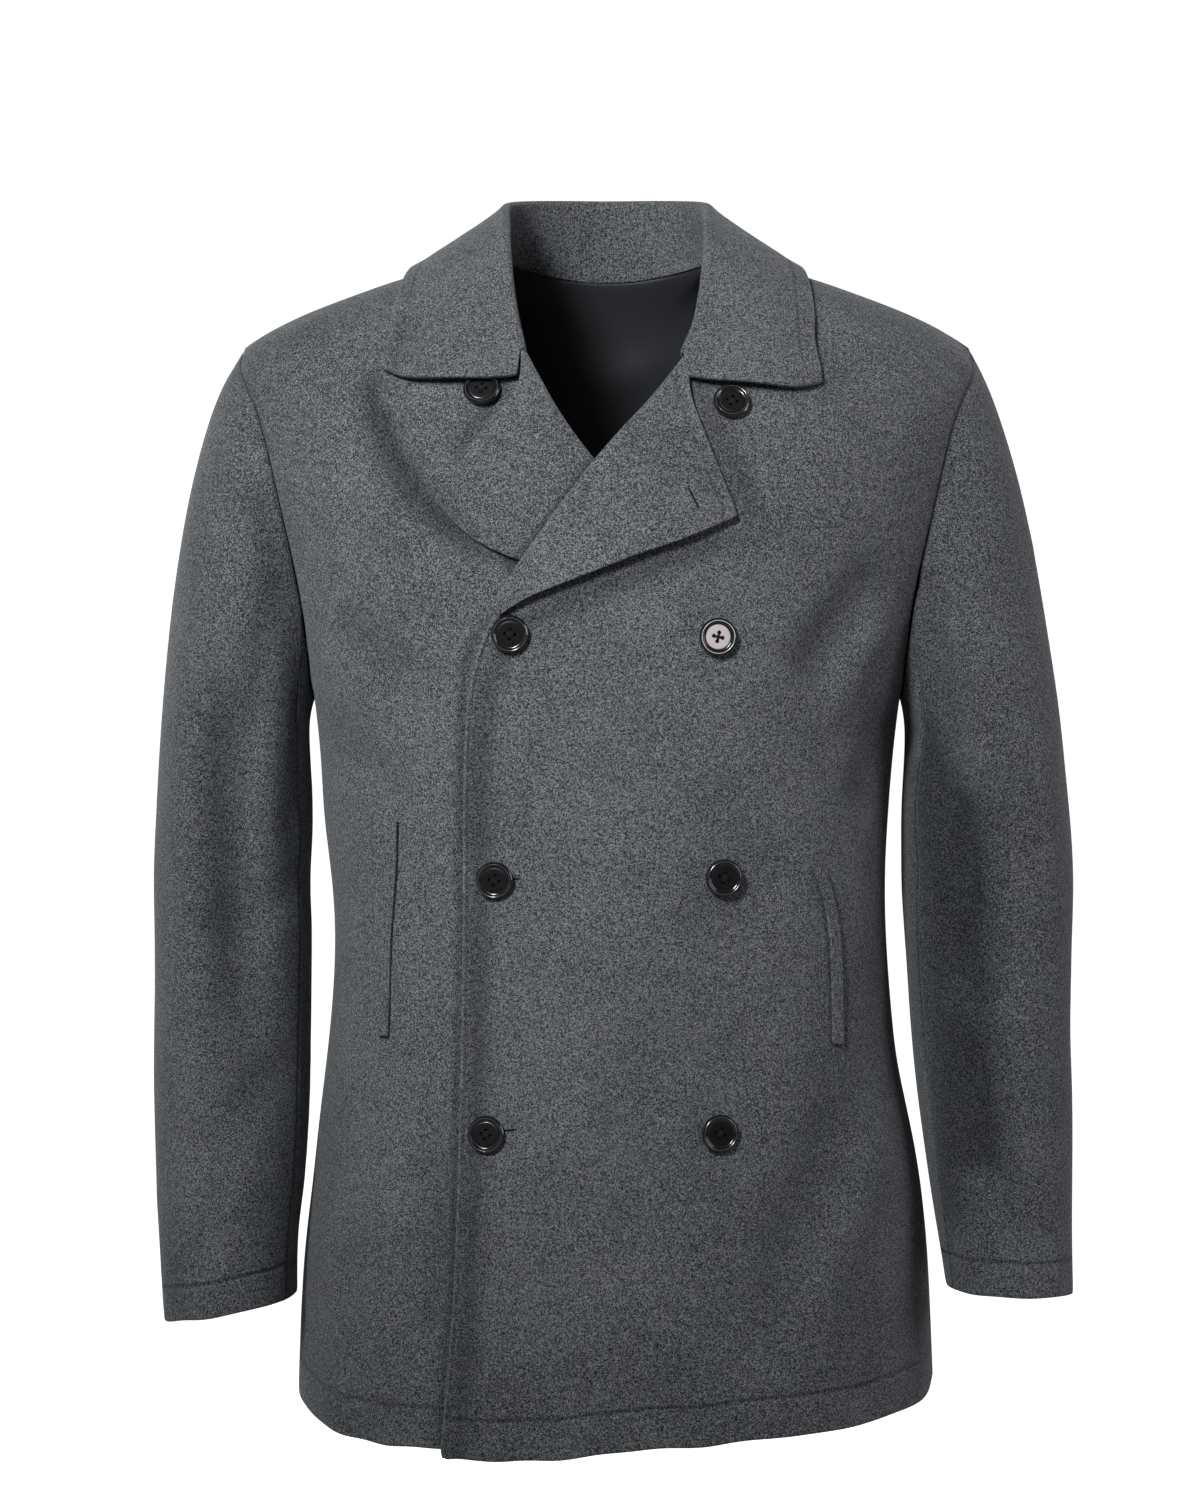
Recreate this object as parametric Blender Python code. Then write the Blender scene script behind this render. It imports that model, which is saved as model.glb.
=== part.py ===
"""Pea coat: a double-breasted coat of heavy wool, in the hollow form that it has when worn.

Every piece is a wall of cloth.  The body of the coat is one surface through horizontal sections, and
so is each sleeve.  The armholes are the curves where these surfaces meet.  The panels are four-sided
patches on the surfaces, and neighbours share the points of their seam.

Sizes are in millimetres here and become metres when a piece is made.  +X is the wearer's left, +Y the
back and +Z up.  The origin lies between the high points of the shoulders, where a neck stands.
"""
import math

import bmesh
import bpy
import numpy as np
from mathutils import Vector
from mathutils.bvhtree import BVHTree

MM = 0.001
CLOTH = 2.5             # thickness of the wool
SEAM_GAP = 0.3          # room between two pieces that are sewn or laid together
LAYER_GAP = 0.9         # room between two layers of the front
COLLAR_CLOTH = 3.0      # the collar is two layers, pressed

ARMHOLE_STEPS = 10      # grid steps along half an armhole
SIDE_STEPS = 17         # along a side seam
NECK_STEPS = 5          # along the neckline of one front
ROLL_STEPS = 9          # along a lapel's fold
EDGE_STEPS = ARMHOLE_STEPS + SIDE_STEPS - NECK_STEPS - ROLL_STEPS   # along a free edge
BACK_NECK_STEPS = 8
SHOULDER_STEPS = 10
SLEEVE_STEPS = 22       # along a sleeve
RELAX_ROUNDS = 40       # of evening out a panel's grid


def table(names, rows):
    """Rows of numbers as named columns."""
    return dict(zip(names.split(), np.array(rows, float).T))


# Half sizes of the coat's body at each height: to each side, to the front and to the back.
BODY = table("z      right  left   front  back", [
    (8,      70,    70,    36,    50),
    (0,      92,    92,    47,    62),
    (-5,     114,   114,   53,    66),
    (-12,    140,   140,   60,    70),
    (-22,    168,   168,   67,    75),
    (-32,    195,   195,   74,    80),
    (-42,    217,   217,   80,    84),
    (-50,    232,   232,   84,    87),
    (-57,    242,   242,   88,    90),
    (-64,    246,   246,   92,    93),
    (-80,    247,   247,   102,   99),
    (-120,   240,   240,   123,   114),
    (-170,   226,   226,   137,   126),
    (-230,   208,   208,   143,   131),
    (-292,   195,   195,   144,   130),
    (-300,  193.8, 193.8, 144,   129),
    (-312,  192.3, 192.2, 144,   128),
    (-332,  190.5, 190,   143,   126),
    (-372,   188.5, 187,   141,   122),
    (-412,   183,   185,   139,   119),
    (-452,   181,   186,   139,   118),
    (-492,   183,   189,   140,   120),
    (-532,   187,   193,   142,   124),
    (-572,   192,   202,   144,   128),
    (-612,   196,   209,   146,   131),
    (-652,   201,   213,   148,   134),
    (-692,   203,   215,   150,   136),
    (-780,   206,   219,   152,   138),
])
BODY_SQUARE = 2.45      # 2 is an ellipse, and more is squarer

# Each sleeve at each height: how far out and in it reaches from the middle, and to front and back.
SLEEVE = {
    "right": table("z  out    in     front  back", [
        (-45,   216,   168,   -3,    3),
        (-57,   242,   160,   -10,   10),
        (-62,   248,   156,   -20,   21),
        (-72,   254,   152,   -34,   35),
        (-87,   261,   150,   -48,   50),
        (-112,  269,   156,   -57,   60),
        (-152,  279,   169,   -62,   68),
        (-212,  289,   178,   -68,   74),
        (-252,  293,   185,   -73,   76),
        (-292,  296,   195,   -75,   75),
        (-300,  296.5, 197.5, -75,   75),
        (-312,  297.5, 198.3, -75,   75),
        (-332,  299,   197.3, -74,   74),
        (-372,  301,   195.5, -72,   71),
        (-412,  303,   197.5, -71,   67),
        (-452,  303,   196,   -72,   60),
        (-532,  301,   196,   -81,   46),
        (-612,  297,   199.5, -91,   30),
        (-652,  294,   204,   -96,   21),
        (-710,  288,   204,   -102,  10),
    ]),
    "left": table("z   out    in     front  back", [
        (-45,   216,   168,   -3,    3),
        (-57,   242,   160,   -10,   10),
        (-62,   247,   156,   -20,   21),
        (-72,   252,   152,   -34,   35),
        (-87,   258,   150,   -48,   50),
        (-112,  266,   156,   -57,   60),
        (-152,  277,   169,   -62,   68),
        (-212,  289,   178,   -68,   74),
        (-252,  295,   185,   -73,   76),
        (-292,  301,   195,   -75,   75),
        (-300,  302,   197.5, -75,   75),
        (-312,  303,   198.3, -75,   75),
        (-332,  306,   197.5, -74,   74),
        (-372,  310,   195.5, -72,   71),
        (-412,  312,   195.5, -71,   67),
        (-452,  310,   198,   -72,   60),
        (-532,  309,   203,   -80,   48),
        (-612,  307,   213,   -88,   34),
        (-652,  305.5, 219,   -93,   26),
        (-700,  305,   225,   -98,   16),
    ]),
}
SLEEVE_SQUARE = 2.2
SIDE = {"left": 1, "right": -1}


def curve(rows, name, at, key="z"):
    """One column of a table, read on a smooth curve through its rows that never overshoots."""
    order = np.argsort(rows[key])
    knot = rows[key][order]
    value = rows[name][order]
    slope = np.diff(value) / np.diff(knot)
    lean = np.concatenate([slope[:1], (slope[:-1] + slope[1:]) / 2, slope[-1:]])
    turn = slope[:-1] * slope[1:] <= 0
    limit = 3 * np.minimum(np.abs(slope[:-1]), np.abs(slope[1:]))
    lean[1:-1] = np.where(turn, 0, np.clip(lean[1:-1], -limit, limit))
    at = np.asarray(at, float)
    cell = np.clip(np.searchsorted(knot, at) - 1, 0, len(knot) - 2)
    width = knot[cell + 1] - knot[cell]
    t = np.clip((at - knot[cell]) / width, 0, 1)
    return ((1 + 2 * t) * (1 - t) ** 2 * value[cell] + t * (1 - t) ** 2 * width * lean[cell]
            + t * t * (3 - 2 * t) * value[cell + 1] + t * t * (t - 1) * width * lean[cell + 1])


def ramp(t):
    """A soft step from 0 to 1."""
    t = np.clip(t, 0, 1)
    return t * t * (3 - 2 * t)


def unit(vectors):
    """Vectors at length 1."""
    return vectors / np.maximum(np.linalg.norm(vectors, axis=-1, keepdims=True), 1e-9)


def rim(angle, across, deep, square):
    """How far a section's rim lies from its middle, in the direction of an angle."""
    return ((np.abs(np.cos(angle)) / across) ** square
            + (np.abs(np.sin(angle)) / deep) ** square) ** (-1 / square)


def body_point(angle, z):
    """A point of the body's outer surface.  Angle 0 is the left side, and -90 degrees the front."""
    angle, z = np.broadcast_arrays(np.asarray(angle, float), np.asarray(z, float))
    across = np.where(np.cos(angle) > 0, curve(BODY, "left", z), curve(BODY, "right", z))
    deep = np.where(np.sin(angle) < 0, curve(BODY, "front", z), curve(BODY, "back", z))
    reach = rim(angle, across, deep, BODY_SQUARE)
    return np.stack([reach * np.cos(angle), reach * np.sin(angle), z], axis=-1)


def sleeve_point(angle, z, side):
    """A point of a sleeve's outer surface.  Angle 0 points away from the body, -90 degrees ahead."""
    angle, z = np.broadcast_arrays(np.asarray(angle, float), np.asarray(z, float))
    rows = SLEEVE[side]
    out, inward, front, back = (curve(rows, name, z) for name in ("out", "in", "front", "back"))
    reach = rim(angle, (out - inward) / 2, (back - front) / 2, SLEEVE_SQUARE)
    x = (out + inward) / 2 + reach * np.cos(angle)
    y = (front + back) / 2 + reach * np.sin(angle)
    return np.stack([SIDE[side] * x, y, z], axis=-1)


def surface_normal(surface, angle, z, turn=1):
    """The outward direction of a surface.  Turn is -1 on a mirrored one."""
    step = 0.01
    around = surface(angle + step, z) - surface(angle - step, z)
    up = surface(angle, z + 1) - surface(angle, z - 1)
    return unit(turn * np.cross(around, up))


def above_body(points, height, exact=False):
    """Points moved out to at least, or exactly, a height above the body."""
    for _ in range(8):
        angle = np.arctan2(points[..., 1], points[..., 0])
        normal = surface_normal(body_point, angle, points[..., 2])
        gap = ((points - body_point(angle, points[..., 2])) * normal).sum(axis=-1)
        short = height - gap
        if not exact:
            short = np.maximum(short, 0)
        points = points + short[..., None] * normal
    return points


def front_angle(x, z):
    """The angle of the body's front at a place given by its distance from the middle."""
    x, z = np.broadcast_arrays(np.asarray(x, float), np.asarray(z, float))
    across = np.where(x > 0, curve(BODY, "left", z), curve(BODY, "right", z))
    share = np.clip(np.abs(x) / across, 0, 1)
    y = -curve(BODY, "front", z) * (1 - share ** BODY_SQUARE) ** (1 / BODY_SQUARE)
    return np.arctan2(y, x)


# ---------------------------------------------------------------- seams and edges as (angle, z) paths

def spread(surface, path, steps):
    """Points at equal distances along a path on a surface."""
    path = np.asarray(path, float)
    fine = np.linspace(0, len(path) - 1, 40 * (len(path) - 1) + 1)
    index = np.arange(len(path))
    dense = np.stack([np.interp(fine, index, path[:, 0]), np.interp(fine, index, path[:, 1])], axis=-1)
    points = surface(dense[:, 0], dense[:, 1])
    run = np.concatenate([[0], np.cumsum(np.linalg.norm(np.diff(points, axis=0), axis=1))])
    stops = np.linspace(0, run[-1], steps + 1)
    return np.stack([np.interp(stops, run, dense[:, 0]), np.interp(stops, run, dense[:, 1])], axis=-1)


def rounded(path, steps=60):
    """A smooth path through a few points, by their running distance."""
    path = np.asarray(path, float)
    run = np.concatenate([[0], np.cumsum(np.hypot(*np.diff(path, axis=0).T))])
    rows = {"z": run, "a": path[:, 0], "b": path[:, 1]}
    stops = np.linspace(0, run[-1], steps)
    return np.stack([curve(rows, "a", stops), curve(rows, "b", stops)], axis=-1)


def on_front(path):
    """A path of (x, z) places on the front, as (angle, z)."""
    smooth = rounded(path)
    return np.stack([front_angle(smooth[:, 0], smooth[:, 1]), smooth[:, 1]], axis=-1)


def inside_body(point):
    """True where a point lies within the body's surface."""
    angle = np.arctan2(point[..., 1], point[..., 0])
    edge = body_point(angle, point[..., 2])
    return np.hypot(point[..., 0], point[..., 1]) < np.hypot(edge[..., 0], edge[..., 1])


def crossing(side, sign, z):
    """The sleeve angle at which a sleeve's section goes into the body: sign -1 in front, 1 behind."""
    low = np.zeros_like(z)
    high = np.full_like(z, sign * math.pi)
    for _ in range(40):
        middle = (low + high) / 2
        within = inside_body(sleeve_point(middle, z, side))
        high = np.where(within, middle, high)
        low = np.where(within, low, middle)
    return (low + high) / 2


def meeting_height(side, angle, low, high):
    """The height between two others at which a line of the sleeve meets the body's surface."""
    state = inside_body(sleeve_point(np.array([angle]), np.array([high]), side))[0]
    for _ in range(40):
        middle = (low + high) / 2
        if inside_body(sleeve_point(np.array([angle]), np.array([middle]), side))[0] == state:
            high = middle
        else:
            low = middle
    return (low + high) / 2


def armhole(side, sign):
    """Half an armhole, from the shoulder's end to the armpit, as (angle, z) of the sleeve."""
    top = meeting_height(side, 0.0, -75.0, -48.0)
    pit = meeting_height(side, math.pi, -300.0, -270.0)
    swing = np.linspace(0, math.pi, 121)[1:-1]
    z = (top + pit) / 2 + (top - pit) / 2 * np.cos(swing)
    path = np.stack([crossing(side, sign, z), z], axis=-1)
    path = np.concatenate([[[0.0, top]], path, [[sign * math.pi, pit]]])
    return spread(lambda a, b: sleeve_point(a, b, side), path, ARMHOLE_STEPS)


ARMHOLE = {(side, sign): armhole(side, sign) for side in SIDE for sign in (-1, 1)}


def armhole_on_body(side, sign):
    """The same points as (angle, z) of the body."""
    path = ARMHOLE[side, sign]
    point = sleeve_point(path[:, 0], path[:, 1], side)
    angle = np.arctan2(point[:, 1], point[:, 0])
    if side == "right":
        angle = np.where(angle * sign < 0, angle + sign * 2 * math.pi, angle)
    return np.stack([angle, path[:, 1]], axis=-1)


NECK_HEIGHT = 6         # of the neckline at the shoulder seams
# The fold of each lapel and the free edge below it, as (x, z) from the neckline to the hem.
ROLL = {
    "left": [(54, -74), (37, -96), (20, -117), (-4, -145), (-26, -173), (-52, -209), (-71, -237)],
    "right": [(-56, -72), (-46, -90), (-35, -110), (-10, -144), (18, -173), (46, -209), (66, -237)],
}
EDGE = {
    "left": [(-71, -237), (-80, -254), (-86, -274), (-89, -300), (-91, -483), (-93, -576),
             (-98, -687), (-105, -772)],
    "right": [(66, -237), (75, -254), (82, -274), (85, -300), (88, -483), (90, -576), (95, -687),
              (100, -765)],
}
# The neckline from the top of a lapel's fold to the shoulder seam, as angles ahead of the side.
NECKLINE = table("angle  z", [(60, -71), (46, -33), (33, -6), (19, 4), (0, NECK_HEIGHT)])
BACK_NECKLINE = table("angle  z", [(0, NECK_HEIGHT), (30, 4), (60, -3), (90, -6), (120, -3), (150, 4),
                                   (180, NECK_HEIGHT)])
# Height of the hem around the body.
HEM = {
    "left": table("angle  z", [(-130, -773), (-110, -771), (-90, -766), (-65, -760), (-45, -757),
                               (-20, -749), (0, -741)]),
    "right": table("angle  z", [(-180, -742), (-160, -757), (-140, -766), (-125, -766), (-90, -764),
                                (-55, -760)]),
    "back": table("angle  z", [(0, -741), (40, -748), (90, -751), (140, -748), (180, -742)]),
}


def neckline(side):
    """The front neckline of one side, from the lapel's fold to the shoulder seam."""
    start = on_front(ROLL[side][:2])[0]
    angle = -np.radians(NECKLINE["angle"])
    if side == "right":
        angle = -math.pi - angle
    path = np.stack([angle, NECKLINE["z"]], axis=-1)
    path[0] = start
    return spread(body_point, rounded(path), NECK_STEPS)


def shoulder(side):
    """The shoulder seam of one side, from the neckline to the armhole, along the ridge."""
    end = ARMHOLE[side, -1][0, 1]
    angle = 0.0 if side == "left" else -math.pi
    return spread(body_point, [(angle, NECK_HEIGHT), (angle, end)], SHOULDER_STEPS)


def side_seam(side, hem):
    """The side seam, from the armpit to the hem."""
    angle = 0.0 if side == "left" else -math.pi
    return spread(body_point, [(angle, ARMHOLE[side, -1][-1, 1]), (angle, hem)], SIDE_STEPS)


def hem_path(name, start, end, steps):
    """A stretch of hem between two angles."""
    rows = HEM[name]
    angle = np.linspace(start, end, 60)
    path = np.stack([angle, curve(rows, "z", np.degrees(angle), key="angle")], axis=-1)
    return spread(body_point, path, steps)


def patch(top, bottom, left, right, ease=1.0):
    """A grid of (angle, z) between four paths that meet at their corners.  Ease crowds the top rows."""
    u = np.linspace(0, 1, len(top))[None, :, None]
    v = (np.linspace(0, 1, len(left)) ** ease)[:, None, None]
    across = (1 - v) * top[None] + v * bottom[None]
    down = (1 - u) * left[:, None] + u * right[:, None]
    corners = ((1 - v) * ((1 - u) * top[0] + u * top[-1]) + v * ((1 - u) * bottom[0] + u * bottom[-1]))
    return across + down - corners


def body_patch(top, bottom, left, right):
    """A patch whose points are spread evenly over the body's surface, as (angle, z)."""
    sides = [body_point(path[:, 0], path[:, 1]) for path in (top, bottom, left, right)]
    points = above_body(patch(*sides), 0, exact=True)
    for _ in range(RELAX_ROUNDS):
        beside = points[1:-1, :-2] + points[1:-1, 2:]
        beyond = points[:-2, 1:-1] + points[2:, 1:-1]
        points[1:-1, 1:-1] = above_body((beside + beyond) / 4, 0, exact=True)
    middle = (top[0, 0] + top[-1, 0] + left[-1, 0] + right[-1, 0]) / 4
    angle = np.arctan2(points[..., 1], points[..., 0])
    angle = middle + (angle - middle + math.pi) % (2 * math.pi) - math.pi
    grid = np.stack([angle, points[..., 2]], axis=-1)
    grid[0], grid[-1], grid[:, 0], grid[:, -1] = top, bottom, left, right
    return grid


def joined(*paths):
    """Paths put end to end."""
    return np.concatenate([paths[0]] + [path[1:] for path in paths[1:]])


# ------------------------------------------------------------------------------- walls of cloth

def grid_normal(points):
    """Outward directions of a grid whose rows go down and whose columns go anticlockwise."""
    return unit(np.cross(np.gradient(points, axis=1), -np.gradient(points, axis=0)))


def pull_in(points, sides, by=SEAM_GAP / 2):
    """Move the named sides of a grid inwards, square to the seam, to leave its gap."""
    moved = points.copy()
    lines = {"top": (points[0], points[1], np.s_[0]), "bottom": (points[-1], points[-2], np.s_[-1]),
             "left": (points[:, 0], points[:, 1], np.s_[:, 0]),
             "right": (points[:, -1], points[:, -2], np.s_[:, -1])}
    for side in sides:
        line, inner, place = lines[side]
        along = unit(np.gradient(line, axis=0))
        step = inner - line
        step = step - (step * along).sum(axis=-1, keepdims=True) * along
        moved[place] += by * unit(step)
    return moved


def material(name, colour, roughness):
    """A plain finish."""
    made = bpy.data.materials.new(name)
    made.use_nodes = True
    shader = made.node_tree.nodes["Principled BSDF"]
    shader.inputs["Base Color"].default_value = (*colour, 1)
    shader.inputs["Roughness"].default_value = roughness
    return made


def shade(mesh):
    """Smooth faces with sharp rims."""
    mesh.shade_smooth()
    mesh.set_sharp_from_angle(angle=math.radians(50))


def wall(name, outer, inner, finish):
    """A closed wall between two grids of points."""
    rows, columns = outer.shape[:2]
    bm = bmesh.new()
    out = [[bm.verts.new(outer[i, j] * MM) for j in range(columns)] for i in range(rows)]
    back = [[bm.verts.new(inner[i, j] * MM) for j in range(columns)] for i in range(rows)]
    for i in range(rows - 1):
        for j in range(columns - 1):
            bm.faces.new((out[i][j], out[i + 1][j], out[i + 1][j + 1], out[i][j + 1]))
            bm.faces.new((back[i][j], back[i][j + 1], back[i + 1][j + 1], back[i + 1][j]))
    for j in range(columns - 1):
        bm.faces.new((out[0][j], out[0][j + 1], back[0][j + 1], back[0][j]))
        bm.faces.new((out[-1][j + 1], out[-1][j], back[-1][j], back[-1][j + 1]))
    for i in range(rows - 1):
        bm.faces.new((out[i + 1][0], out[i][0], back[i][0], back[i + 1][0]))
        bm.faces.new((out[i][-1], out[i + 1][-1], back[i + 1][-1], back[i][-1]))
    mesh = bpy.data.meshes.new(name)
    bm.to_mesh(mesh)
    bm.free()
    shade(mesh)
    mesh.materials.append(finish)
    made = bpy.data.objects.new(name, mesh)
    bpy.context.collection.objects.link(made)
    return made


WOOL = material("wool", (0.20, 0.21, 0.225), 0.95)
BUTTON_BLACK = material("button_black", (0.012, 0.012, 0.014), 0.25)

# --------------------------------------------------------------------------- folds and layers

# Soft folds of the body, each along a line from (x1, z1) to (x2, z2): troughs have a negative depth.
FRONT_FOLDS = table("x1  z1    x2    z2    width  depth", [
    (-138,  -98,  -92,  -215, 17,    -5),
    (-178,  -300, -146, -348, 15,    -3.5),
    (186,   -228, 118,  -300, 14,    -4.5),
    (172,   -300, 112,  -358, 13,    -3),
    (150,   -535, 120,  -725, 14,    -4.5),
    (186,   -590, 138,  -735, 17,    4),
    (-150,  -600, -134, -745, 20,    -3.5),
    (-178,  -580, -172, -735, 16,    3),
])
BACK_FOLDS = table("x1  z1    x2    z2    width  depth", [
    (-180,  -235, -110, -330, 16,    -4.5),
    (182,   -240, 108,  -322, 15,    -4),
    (-30,   -400, -52,  -735, 24,    -4.5),
    (62,    -430, 84,   -735, 22,    -4),
    (18,    -520, 22,   -735, 20,    3.5),
    (-130,  -560, -150, -735, 20,    -3.5),
    (-60,   -70,  70,   -78,  18,    -2.5),
])
# Folds of the sleeves, from (angle1, z1) to (angle2, z2), in degrees around the sleeve.
SLEEVE_FOLDS = {
    "right": table("angle1 z1 angle2 z2  width  depth", [
        (-78,  -250,  -104, -500, 15,    -4),
        (-150, -330,  -100, -420, 12,    -4),
        (-140, -395,  -75,  -462, 12,    -3.5),
        (70,   -330,  120,  -470, 15,    -4),
        (20,   -420,  -40,  -520, 16,    -3),
        (60,   -190,  80,   -300, 15,    -3.5),
    ]),
    "left": table("angle1 z1 angle2 z2   width  depth", [
        (-128, -260,  -96,  -430, 14,    -5),
        (-150, -390,  -95,  -480, 13,    -4),
        (-30,  -330,  -58,  -470, 15,    -3),
        (75,   -320,  118,  -450, 15,    -4),
        (30,   -430,  -20,  -540, 16,    -3),
        (65,   -180,  84,   -290, 15,    -3.5),
    ]),
}
SLEEVE_GIRTH = 58       # millimetres around a sleeve for each radian


def fold_depth(rows, first, second, names, scale=1.0):
    """How far the folds of a table move a point in or out."""
    total = np.zeros(np.broadcast(first, second).shape)
    for row in zip(*(rows[name] for name in names)):
        a1, b1, a2, b2, width, depth = row
        da, db = (a2 - a1) * scale, b2 - b1
        length = math.hypot(da, db)
        a, b = (first - a1) * scale, second - b1
        along = (a * da + b * db) / length
        aside = (a * db - b * da) / length
        ends = ramp((along + width) / (2 * width)) * ramp((length + width - along) / (2 * width))
        total = total + depth * ends * np.exp(-(aside / width) ** 2)
    return total


def body_folds(angle, z):
    """The folds of the body at a place, with none of them on the side seams."""
    point = body_point(angle, z)
    x = point[..., 0]
    names = ("x1", "z1", "x2", "z2", "width", "depth")
    ahead = fold_depth(FRONT_FOLDS, x, z, names)
    behind = fold_depth(BACK_FOLDS, x, z, names)
    return np.where(np.sin(angle) < 0, ahead, behind) * ramp(np.abs(np.sin(angle)) / SEAM_FADE)


def sleeve_folds(side, angle, z):
    """The folds of a sleeve at a place."""
    turn = math.radians(1) * SLEEVE_GIRTH
    names = ("angle1", "z1", "angle2", "z2", "width", "depth")
    return sum(fold_depth(SLEEVE_FOLDS[side], np.degrees(angle) + full, z, names, turn)
               for full in (-360, 0, 360))


LAYER_STEP = CLOTH + LAYER_GAP      # how far each layer of the front lies outside the one below
UNDER_REACH = 64        # how far beyond the edge of the front below that step goes on
UNDER_BLEND = 40        # and over what width it fades
LAPEL_REACH = 56        # the same beyond the lower edge of the lapel that goes in under the front
LAPEL_BLEND = 36
LAPEL_STEPS = 1.3       # the height of that lapel, in steps
SEAM_FADE = 0.35        # sine of the angle over which folds die out at the side seams
HIDDEN_LAPEL = [(-112, -167), (-91, -189), (-66, -202), (-35, -213), (0, -225), (40, -238),
                (61, -243)]


def front_lift(side, x, z):
    """How far a front stands outside the body's surface, because of the layers under it."""
    if side == "right":
        return np.zeros(np.broadcast(x, z).shape)
    under = np.array((ROLL["right"][:-1] + EDGE["right"])[::-1], float)
    under_edge = np.interp(z, under[:, 1], under[:, 0])
    covers = ramp((under_edge + UNDER_REACH - x) / UNDER_BLEND)
    low = np.interp(x, *np.array(HIDDEN_LAPEL, float).T)
    on_lapel = ramp((z - low + LAPEL_REACH) / LAPEL_BLEND)
    return LAYER_STEP * covers * (1 + LAPEL_STEPS * on_lapel)


def panel_point(angle, z, side=None):
    """A point of a front or of the back, with its folds and its layers."""
    point = body_point(angle, z)
    lift = body_folds(angle, z)
    if side:
        lift = lift + front_lift(side, point[..., 0], z)
    return point + lift[..., None] * surface_normal(body_point, angle, z)


# ---------------------------------------------------------------------------------- armholes

def armhole_joint(side, sign):
    """For body and sleeve along half an armhole: which way each wall goes in, and its small shift."""
    on_sleeve = ARMHOLE[side, sign]
    on_body = armhole_on_body(side, sign)
    point = sleeve_point(on_sleeve[:, 0], on_sleeve[:, 1], side)
    body = surface_normal(body_point, on_body[:, 0], on_body[:, 1])
    sleeve = surface_normal(lambda a, b: sleeve_point(a, b, side), on_sleeve[:, 0], on_sleeve[:, 1],
                            SIDE[side])
    along = unit(np.gradient(point, axis=0))
    into_sleeve = -sign * SIDE[side] * np.cross(sleeve, along)
    agree = (body * sleeve).sum(axis=-1, keepdims=True)
    valley = ((into_sleeve * body).sum(axis=-1, keepdims=True) > 0) | (agree < 0)
    shared = unit(body + sleeve)
    crease = np.where(valley, 0.25 * (1 - agree) / 2, 0)
    joint = {}
    for name, own in (("body", body), ("sleeve", sleeve)):
        mitre = shared / np.maximum((shared * own).sum(axis=-1, keepdims=True), 0.6)
        joint[name] = np.where(valley, own, mitre), -crease * own
    return joint


JOINT = {key: armhole_joint(*key) for key in ARMHOLE}


# ------------------------------------------------------------------------------------ the body

def front_outline(side):
    """The four sides of a front: shoulder seam, hem, the side from the neck down, and the other."""
    fold = spread(body_point, on_front(ROLL[side]), ROLL_STEPS)
    edge = spread(body_point, on_front(EDGE[side]), EDGE_STEPS)
    free = joined(neckline(side)[::-1], fold, edge)
    top = shoulder(side)
    hem_angle = 0.0 if side == "left" else -math.pi
    hem = hem_path(side, free[-1, 0], hem_angle, len(top) - 1)
    hem[0] = free[-1]
    closed = joined(armhole_on_body(side, -1), side_seam(side, hem[-1, 1]))
    return top, hem, free, closed


def panel(name, angle, z, side, seams, holes):
    """Build a front or the back from its grid, its seams and the armholes on its sides."""
    points = panel_point(angle, z, side)
    inward = grid_normal(points)
    body_normal = surface_normal(body_point, angle, z)
    shared = {"left": np.s_[ARMHOLE_STEPS:, 0], "right": np.s_[ARMHOLE_STEPS:, -1]}
    for edge in holes:
        inward[shared[edge]] = body_normal[shared[edge]]
    inward[0] = body_normal[0]
    if side:
        fold = np.s_[:NECK_STEPS + ROLL_STEPS + 1, 0 if side == "left" else -1]
        inward[fold] = body_normal[fold]
    points = pull_in(points, seams)
    for edge, key in holes.items():
        place = np.s_[:ARMHOLE_STEPS + 1, 0 if edge == "left" else -1]
        direction, shift = JOINT[key]["body"]
        inward[place] = direction
        points[place] += shift
    return wall(name, points, points - CLOTH * inward, WOOL)


def build_front(side):
    """One front, from the lapel's fold and the free edge to the side seam."""
    top, hem, free, closed = front_outline(side)
    if side == "left":
        grid = body_patch(top, hem, free, closed)
    else:
        grid = body_patch(top[::-1], hem[::-1], closed, free)
    edge = "right" if side == "left" else "left"
    return panel("front_" + side, grid[..., 0], grid[..., 1], side, ("top", "left", "right"),
                 {edge: (side, -1)})


def build_back():
    """The back, in one piece."""
    angle = np.radians(BACK_NECKLINE["angle"])
    neck = spread(body_point, rounded(np.stack([angle, BACK_NECKLINE["z"]], axis=-1)), BACK_NECK_STEPS)
    left = shoulder("left")
    right = shoulder("right")
    right[:, 0] = math.pi
    top = joined(left[::-1], neck, right)
    hem = hem_path("back", 0, math.pi, len(top) - 1)
    left_side = joined(armhole_on_body("left", 1), side_seam("left", hem[0, 1]))
    right_side = side_seam("right", hem[-1, 1])
    right_side[:, 0] = math.pi
    right_side = joined(armhole_on_body("right", 1), right_side)
    grid = body_patch(top, hem, left_side, right_side)
    return panel("back", grid[..., 0], grid[..., 1], None, ("top", "left", "right"),
                 {"left": ("left", 1), "right": ("right", 1)})


# ---------------------------------------------------------------------------------- the sleeves

FRONT_SEAM_STEP = 7     # the step of the armhole's front half at which the forearm seam starts
BACK_SEAM_STEP = 5      # and of its back half at which the elbow seam starts
CUFF = {"right": (-688, -8), "left": (-677, -2)}    # mean height, and how much lower outside
SLEEVE_EASE = 1.2       # rows lie closer together near the shoulder


def eased(surface, path, steps, ease):
    """Points along a path whose steps grow."""
    dense = spread(surface, path, 400)
    place = 400 * np.linspace(0, 1, steps + 1) ** ease
    index = np.arange(401)
    return np.stack([np.interp(place, index, dense[:, 0]), np.interp(place, index, dense[:, 1])], axis=-1)


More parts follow.
